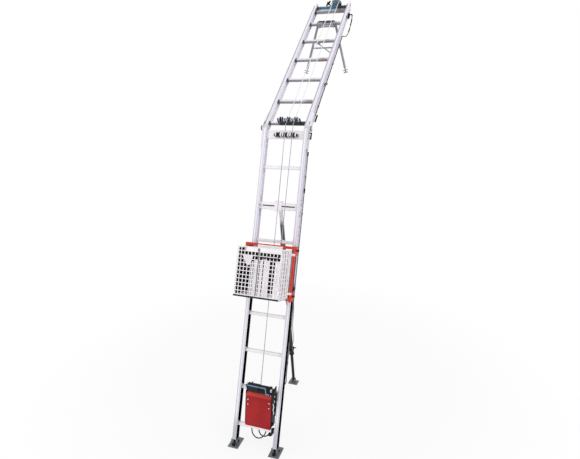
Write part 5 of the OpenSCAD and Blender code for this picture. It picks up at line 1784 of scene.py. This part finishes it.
@dataclass
class HoistRope:
    """Stranded hoist rope, laid from six strands."""

    radius: float = 3.5
    pitch: float = 60.0
    steps: int = 6
    least_steps: int = 8
    strand_count: int = 6
    strand_share: float = 0.36
    strand_facets: int = 5
    up_x: float = 15.0
    fall_x: float = 85.0
    out: float = 34.8
    anchor: float = 1866.0
    drum_reach: float = 39.8
    half_bend: float = math.radians(17)
    eye: tuple[float, float] = (13.0, 22.0)
    eye_lift: float = 10.0
    eye_steps: int = 24
    eye_wire: float = 3.6

    def strands(self, name: str, place: Matrix, runs: Sequence[Box]) -> bpy.types.Object:
        """Lays rope along straight runs.

        Args:
            name: Name of the piece.
            place: Frame of the runs.
            runs: Start and end of each run.

        Returns:
            A piece on no body yet.
        """
        rope = Workpiece(name, place)
        core, thread = self.radius * (1 - self.strand_share), self.radius * self.strand_share
        for first, last in runs:
            start, way = Vector(first), Vector(last) - Vector(first)
            side = Vector((1, 0, 0))
            other = way.normalized().cross(side)
            count = max(self.least_steps, round(way.length / self.pitch * self.steps))
            for strand in range(self.strand_count):
                line = []
                for k in range(count + 1):
                    turn = 2 * math.pi * (strand / self.strand_count + k / self.steps)
                    offset = (math.cos(turn) * side + math.sin(turn) * other) * core
                    line.append(start + way * k / count + offset)
                rope.sweep(line, thread, self.strand_facets)
        return rope.loose(STRAND)

    def build(self) -> None:
        """Makes the stretches of the rope and the thimble."""
        # The upper rope takes the lit copy of the rope wire: painted light.
        paint(LIT_STRAND, "rope_upper")
        out, bend = self.out, self.out + MID_DEPTH
        drum = FRAMES.lower.inverted() @ FRAMES.winch @ (Vector((0, *DRUM_AT)) * MM) / MM
        start = (self.up_x, drum.y, drum.z - self.drum_reach)
        up = self.strands("rope_up_strands", FRAMES.lower, [(start, (self.up_x, PULLEY_AT, out))])
        settle(up, Body.LOWER, Slot.ROPE, "rope_up")
        tie, top = (self.fall_x, self.anchor, out), (self.fall_x, PULLEY_AT, out)
        fall = self.strands("rope_fall_strands", FRAMES.lower, [(tie, top)])
        self.stretch(fall, Body.CARRIAGE, top, tie, "rope_fall")
        self.thimble()
        turn = bend * math.tan(self.half_bend)
        low_end, high_end = PULLEY_AT + 1, UPPER_PULLEY_AT - 1
        both = (self.up_x, self.fall_x)
        low = self.strands("rope_knee_strands", FRAMES.lower,
                           [((x, low_end, out), (x, KNEE_AT + turn, out)) for x in both])
        high = self.strands("rope_knee_upper", FRAMES.upper,
                            [((x, -turn, bend), (x, high_end, bend)) for x in both])
        middle = sum(both) / 2
        far = FRAMES.lower.inverted() @ FRAMES.upper @ (Vector((middle, high_end, bend)) * MM) / MM
        knee = joined("rope_knee_strands", [low, high])
        self.stretch(knee, Body.UPPER, (middle, low_end, out), far, "rope_knee")

    def thimble(self) -> None:
        """Hangs the pale eye that ties the rope to the carriage."""
        wide, high = self.eye
        turns = [2 * math.pi * k / self.eye_steps for k in range(self.eye_steps + 1)]
        x, y = self.fall_x, self.anchor + self.eye_lift
        line = [(x + wide * math.sin(a), y - high * math.cos(a), self.out) for a in turns]
        eye = Workpiece("rope_thimble", FRAMES.lower).sweep(line, self.eye_wire)
        eye.done(Body.CARRIAGE, Slot.GALVANISED, BRIGHT)

    def stretch(self, piece: bpy.types.Object, body: Body, start: Point, end: Point, node: str) -> None:
        """Puts a stretch of rope on the lower ladder, with its place baked into its mesh.

        Args:
            piece: The rope.
            body: Body at its far end; not used.
            start: Its end on the lower ladder, in the ladder's frame; not used.
            end: Its far end, in the ladder's frame; not used.
            node: Node that it stands for.
        """
        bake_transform(piece)
        settle(piece, Body.LOWER, Slot.ROPE, node)


@dataclass(frozen=True)
class Lead:
    """A free lead along the points of its route in the solid model, measured from the lower ladder's foot."""

    name: str
    node: str
    body: Body
    slot: Slot
    finish: Finish
    diameter: float
    far_end: str
    stiffness: str
    points: tuple[Point, ...]
    smoothing: int = 4
    facets: int = 12

    def place(self) -> Matrix:
        """Gives the frame of the points: the lower ladder's foot, level."""
        return Matrix.Translation(FRAMES.lower.translation)

    def curve(self) -> list[Vector]:
        """Runs one smooth curve through the points.

        Returns:
            Points of the curve, close together.
        """
        line = [Vector(p) for p in self.points]
        line = [line[0] * 2 - line[1], *line, line[-1] * 2 - line[-2]]
        curve = []
        for a, b, c, d in zip(line, line[1:], line[2:], line[3:]):
            for k in range(self.smoothing):
                t = k / self.smoothing
                curve.append(0.5 * ((2 * b) + (c - a) * t + (2 * a - 5 * b + 4 * c - d) * t * t
                                    + (3 * b - a - 3 * c + d) * t * t * t))
        return [*curve, line[-2]]

    def path(self) -> list[Vector]:
        """Gives the curve in the shared frame, in metres."""
        return [self.place() @ (p * MM) for p in self.curve()]

    def sheath(self, far_body: Body | None = None) -> bpy.types.Object:
        """Sweeps the lead along its route and puts it on its body.

        Args:
            far_body: Where given, the lead's place is baked into its mesh.

        Returns:
            The lead.
        """
        work = Workpiece(self.name, self.place()).sweep(self.curve(), self.diameter / 2, self.facets)
        piece = work.loose(self.finish)
        if far_body:
            path = self.path()
            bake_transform(piece)
        return settle(piece, self.body, self.slot, self.node)

    def declare(self, piece: bpy.types.Object, *others: bpy.types.Object) -> None:
        """Works out the lead's path, and does nothing more with it.

        Args:
            piece: The lead; not used.
            others: The separate pieces on it; not used.
        """
        path = self.path()


POWER_LEAD = Lead(
    "power_lead_sheath", "power_lead", Body.LOWER, Slot.LEAD, SHEATH, 10.0, "plug", "medium", (
        (-57, 128.5, 208.8), (-57, 126, 191), (-57, 120, 171), (-56, 112, 150), (-52, 105, 129),
        (-43, 99, 110), (-30, 94, 96), (-14, 90, 87), (4, 88, 83), (23, 89, 84), (41, 92, 91),
        (57, 97, 104), (69, 103, 120), (77, 110, 139), (79, 117, 158), (75, 125, 176), (65, 132, 189),
        (50, 136, 195), (34, 136, 193), (20, 131, 183), (12, 124, 168), (11, 116, 151), (17, 109, 134),
        (29, 103, 120), (45, 99, 111), (63, 97, 108), (80, 98, 111), (95, 101, 120)))
LIMIT_LEAD = Lead(
    "limit_lead_sheath", "limit_lead", Body.UPPER, Slot.LEAD, SHEATH, 8.0, "object", "medium", (
        (238, 2385, 3925), (245, 2405, 3930), (246, 2428, 3928), (243, 2447, 3914), (240, 2455, 3892),
        (237, 2450, 3866), (234, 2435, 3836), (231, 2415, 3804), (229, 2392, 3774), (227, 2365, 3745),
        (225, 2334, 3720), (223, 2300, 3702), (222, 2264, 3690), (221, 2226, 3682), (220, 2190, 3677),
        (219, 2155, 3673), (219, 2124, 3672)))
STAY_ROPE = Lead(
    "stay_rope_line", "stay_rope", Body.LOWER, Slot.STAY, GREY_SHEATH, 6.0, "object", "limp", (
        (205, 500, 1282), (202, 520, 1252), (196, 541, 1220), (190, 556, 1196), (183, 580, 1162),
        (175, 604, 1126), (164, 629, 1076), (152, 656, 1024), (140, 683, 970), (128, 712, 916),
        (114, 759, 851), (100, 808, 784), (86, 858, 714), (72, 904, 648), (59, 931, 596), (46, 954, 548),
        (35, 980, 506), (27, 1006, 472), (19, 1033, 446)))


@dataclass
class Leads:
    """The three free leads with the plug and sleeves on them."""

    relief: Point = (20.0, 5.5, 9.0)
    relief_facets: int = 20
    plug_steps: tuple[tuple[float, ...], ...] = ((18.0, 24.0, 12.0, 17.0), (24.0, 48.0, 17.0, 17.0))
    plug_facets: int = 24
    rib_at: tuple[float, ...] = (27.0, 32.0, 37.0)
    rib_length: float = 2.4
    rib_radius: float = 17.6
    sleeve_spans: tuple[tuple[int, int], ...] = ((3, 12), (16, 27), (30, 37))
    sleeve_wall: float = 2.5

    def build(self) -> None:
        power = POWER_LEAD.sheath()
        POWER_LEAD.declare(power, self.plug())
        limit = LIMIT_LEAD.sheath()
        LIMIT_LEAD.declare(limit, self.sleeves())
        STAY_ROPE.declare(STAY_ROPE.sheath(Body.PROP))

    def sleeves(self) -> bpy.types.Object:
        """Slides dark sleeves over the end switch's lead.

        Returns:
            The sleeves.
        """
        work = Workpiece("limit_lead_sleeves", LIMIT_LEAD.place())
        curve = LIMIT_LEAD.curve()
        for first, last in self.sleeve_spans:
            work.sweep(curve[first:last], LIMIT_LEAD.diameter / 2 + self.sleeve_wall, LIMIT_LEAD.facets)
        return work.done(LIMIT_LEAD.body, LIMIT_LEAD.slot, RUBBER)

    def plug(self) -> bpy.types.Object:
        """Makes the plug with its strain relief and grip ribs.

        Returns:
            The plug.
        """
        before, start = (Vector(p) for p in POWER_LEAD.points[-2:])
        way = (start - before).normalized()
        work = Workpiece("lead_plug_body", POWER_LEAD.place())
        length, thin, thick = self.relief
        work.bar(start, start + way * length, thin, self.relief_facets, thick)
        for first, last, radius, tip in self.plug_steps:
            work.bar(start + way * first, start + way * last, radius, self.plug_facets, tip)
        for along in self.rib_at:
            ring = start + way * along
            work.bar(ring, ring + way * self.rib_length, self.rib_radius, self.plug_facets)
        return work.done(POWER_LEAD.body, POWER_LEAD.slot, MOULDED, "lead_plug")


@dataclass
class Studio:
    """Plain floor, soft lights and the camera at the photograph's angle, in metres."""

    camera_at: Point = (1.4419, -4.4688, 2.9935)
    pitch: float = 74.726
    heading: float = 18.967
    lens: float = 29.10
    sensor: float = 36.0
    floor_half: float = 30.0
    floor_tone: str = "#F4F4F4"
    floor_roughness: float = 0.9
    near_glow: float = 0.8
    fade: tuple[float, float] = (1.5, 3.0)
    world_light: float = 0.66
    aim: Point = (0.0, 0.0, 1.8)
    lamps: tuple[tuple[str, Point, float, float], ...] = (
        ("key_light", (-12.0, -8.5, 6.5), 13.0, 560.0), ("top_light", (0.5, 0.5, 14.0), 10.0, 190.0),
        ("fill_light", (9.0, -6.0, 6.5), 13.0, 500.0))

    def build(self) -> None:
        """Sets the stage."""
        bpy.context.scene.view_settings.view_transform = "Standard"
        self.world()
        self.ground()
        for lamp in self.lamps:
            self.lamp(*lamp)
        self.camera()

    def seen(self, tree: Any) -> Any:
        """Gives one for rays that show the background: the camera's, and those off metal or through glass.

        Args:
            tree: The world's or the floor's node tree.

        Returns:
            A value socket.
        """
        rays = add_node(tree, "ShaderNodeLightPath")
        share = rays["Is Camera Ray"]
        for kind in ("Is Glossy Ray", "Is Transmission Ray"):
            share = add_node(tree, "ShaderNodeMath", {0: share, 1: rays[kind]}, operation="MAXIMUM")[0]
        return share

    def world(self) -> None:
        """Lights the scene evenly, and shows white behind it."""
        world = bpy.data.worlds.new("studio_world")
        bpy.context.scene.world = world
        world.use_nodes = True
        tree = world.node_tree
        strength = add_node(tree, "ShaderNodeMapRange", {0: self.seen(tree), 3: self.world_light, 4: 1.0})[0]
        feed(tree, tree.nodes["Background"], {"Strength": strength, "Color": (1.0, 1.0, 1.0, 1.0)})

    def ground(self) -> None:
        """Lays a floor that keeps the shadow near the object and fades to white away from it."""
        half = self.floor_half
        data = bpy.data.meshes.new("studio_floor")
        corners = [(-half, -half, 0), (half, -half, 0), (half, half, 0), (-half, half, 0)]
        data.from_pydata(corners, [], [(0, 1, 2, 3)])
        # Matt white floor paint: it takes a faint shadow and mirrors nothing.
        material = bpy.data.materials.new("studio_floor_paint")
        material.use_nodes = True
        tree = material.node_tree
        shader = tree.nodes["Principled BSDF"]
        feed(tree, shader, {"Base Color": srgb(self.floor_tone), "Roughness": self.floor_roughness})
        coords = add_node(tree, "ShaderNodeTexCoord")["Object"]
        reach = add_node(tree, "ShaderNodeVectorMath", {0: coords}, operation="LENGTH")["Value"]
        far = add_node(tree, "ShaderNodeMapRange", {
            0: reach, 1: self.fade[0], 2: self.fade[1], 3: self.near_glow})[0]
        share = add_node(tree, "ShaderNodeMath", {0: far, 1: self.seen(tree)}, operation="MULTIPLY")[0]
        glow = add_node(tree, "ShaderNodeEmission")[0]
        both = add_node(tree, "ShaderNodeMixShader", {0: share, 1: shader.outputs[0], 2: glow})[0]
        feed(tree, tree.nodes["Material Output"], {"Surface": both})
        data.materials.append(material)
        link_object("studio_floor", data)

    def lamp(self, name: str, place: Point, size: float, power: float) -> None:
        """Hangs a soft square lamp that looks at the hoist's middle.

        Args:
            name: Its name.
            place: Where it hangs.
            size: Its side.
            power: Its power in watts.
        """
        data = bpy.data.lights.new(name, "AREA")
        data.shape = "SQUARE"
        data.size = size
        data.energy = power
        lamp = link_object(name, data)
        lamp.location = place
        lamp.rotation_euler = (Vector(self.aim) - Vector(place)).to_track_quat("-Z", "Y").to_euler()

    def camera(self) -> None:
        """Sets the camera."""
        data = bpy.data.cameras.new("photo_camera")
        data.lens = self.lens
        data.sensor_width = self.sensor
        data.sensor_fit = "HORIZONTAL"
        camera = link_object("photo_camera", data)
        camera.location = self.camera_at
        camera.rotation_euler = (math.radians(self.pitch), 0.0, math.radians(self.heading))
        bpy.context.scene.camera = camera


def main() -> None:
    """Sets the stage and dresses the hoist."""
    logging.basicConfig(level=logging.INFO, format="%(name)s: %(message)s")
    assemblies = (Studio, Leads, LowerLadder, Prop, Winch, Carriage, Basket, Knee, UpperLadder, Head,
                  HoistRope)
    for assembly in assemblies:
        assembly().build()


if __name__ == "__main__":
    main()
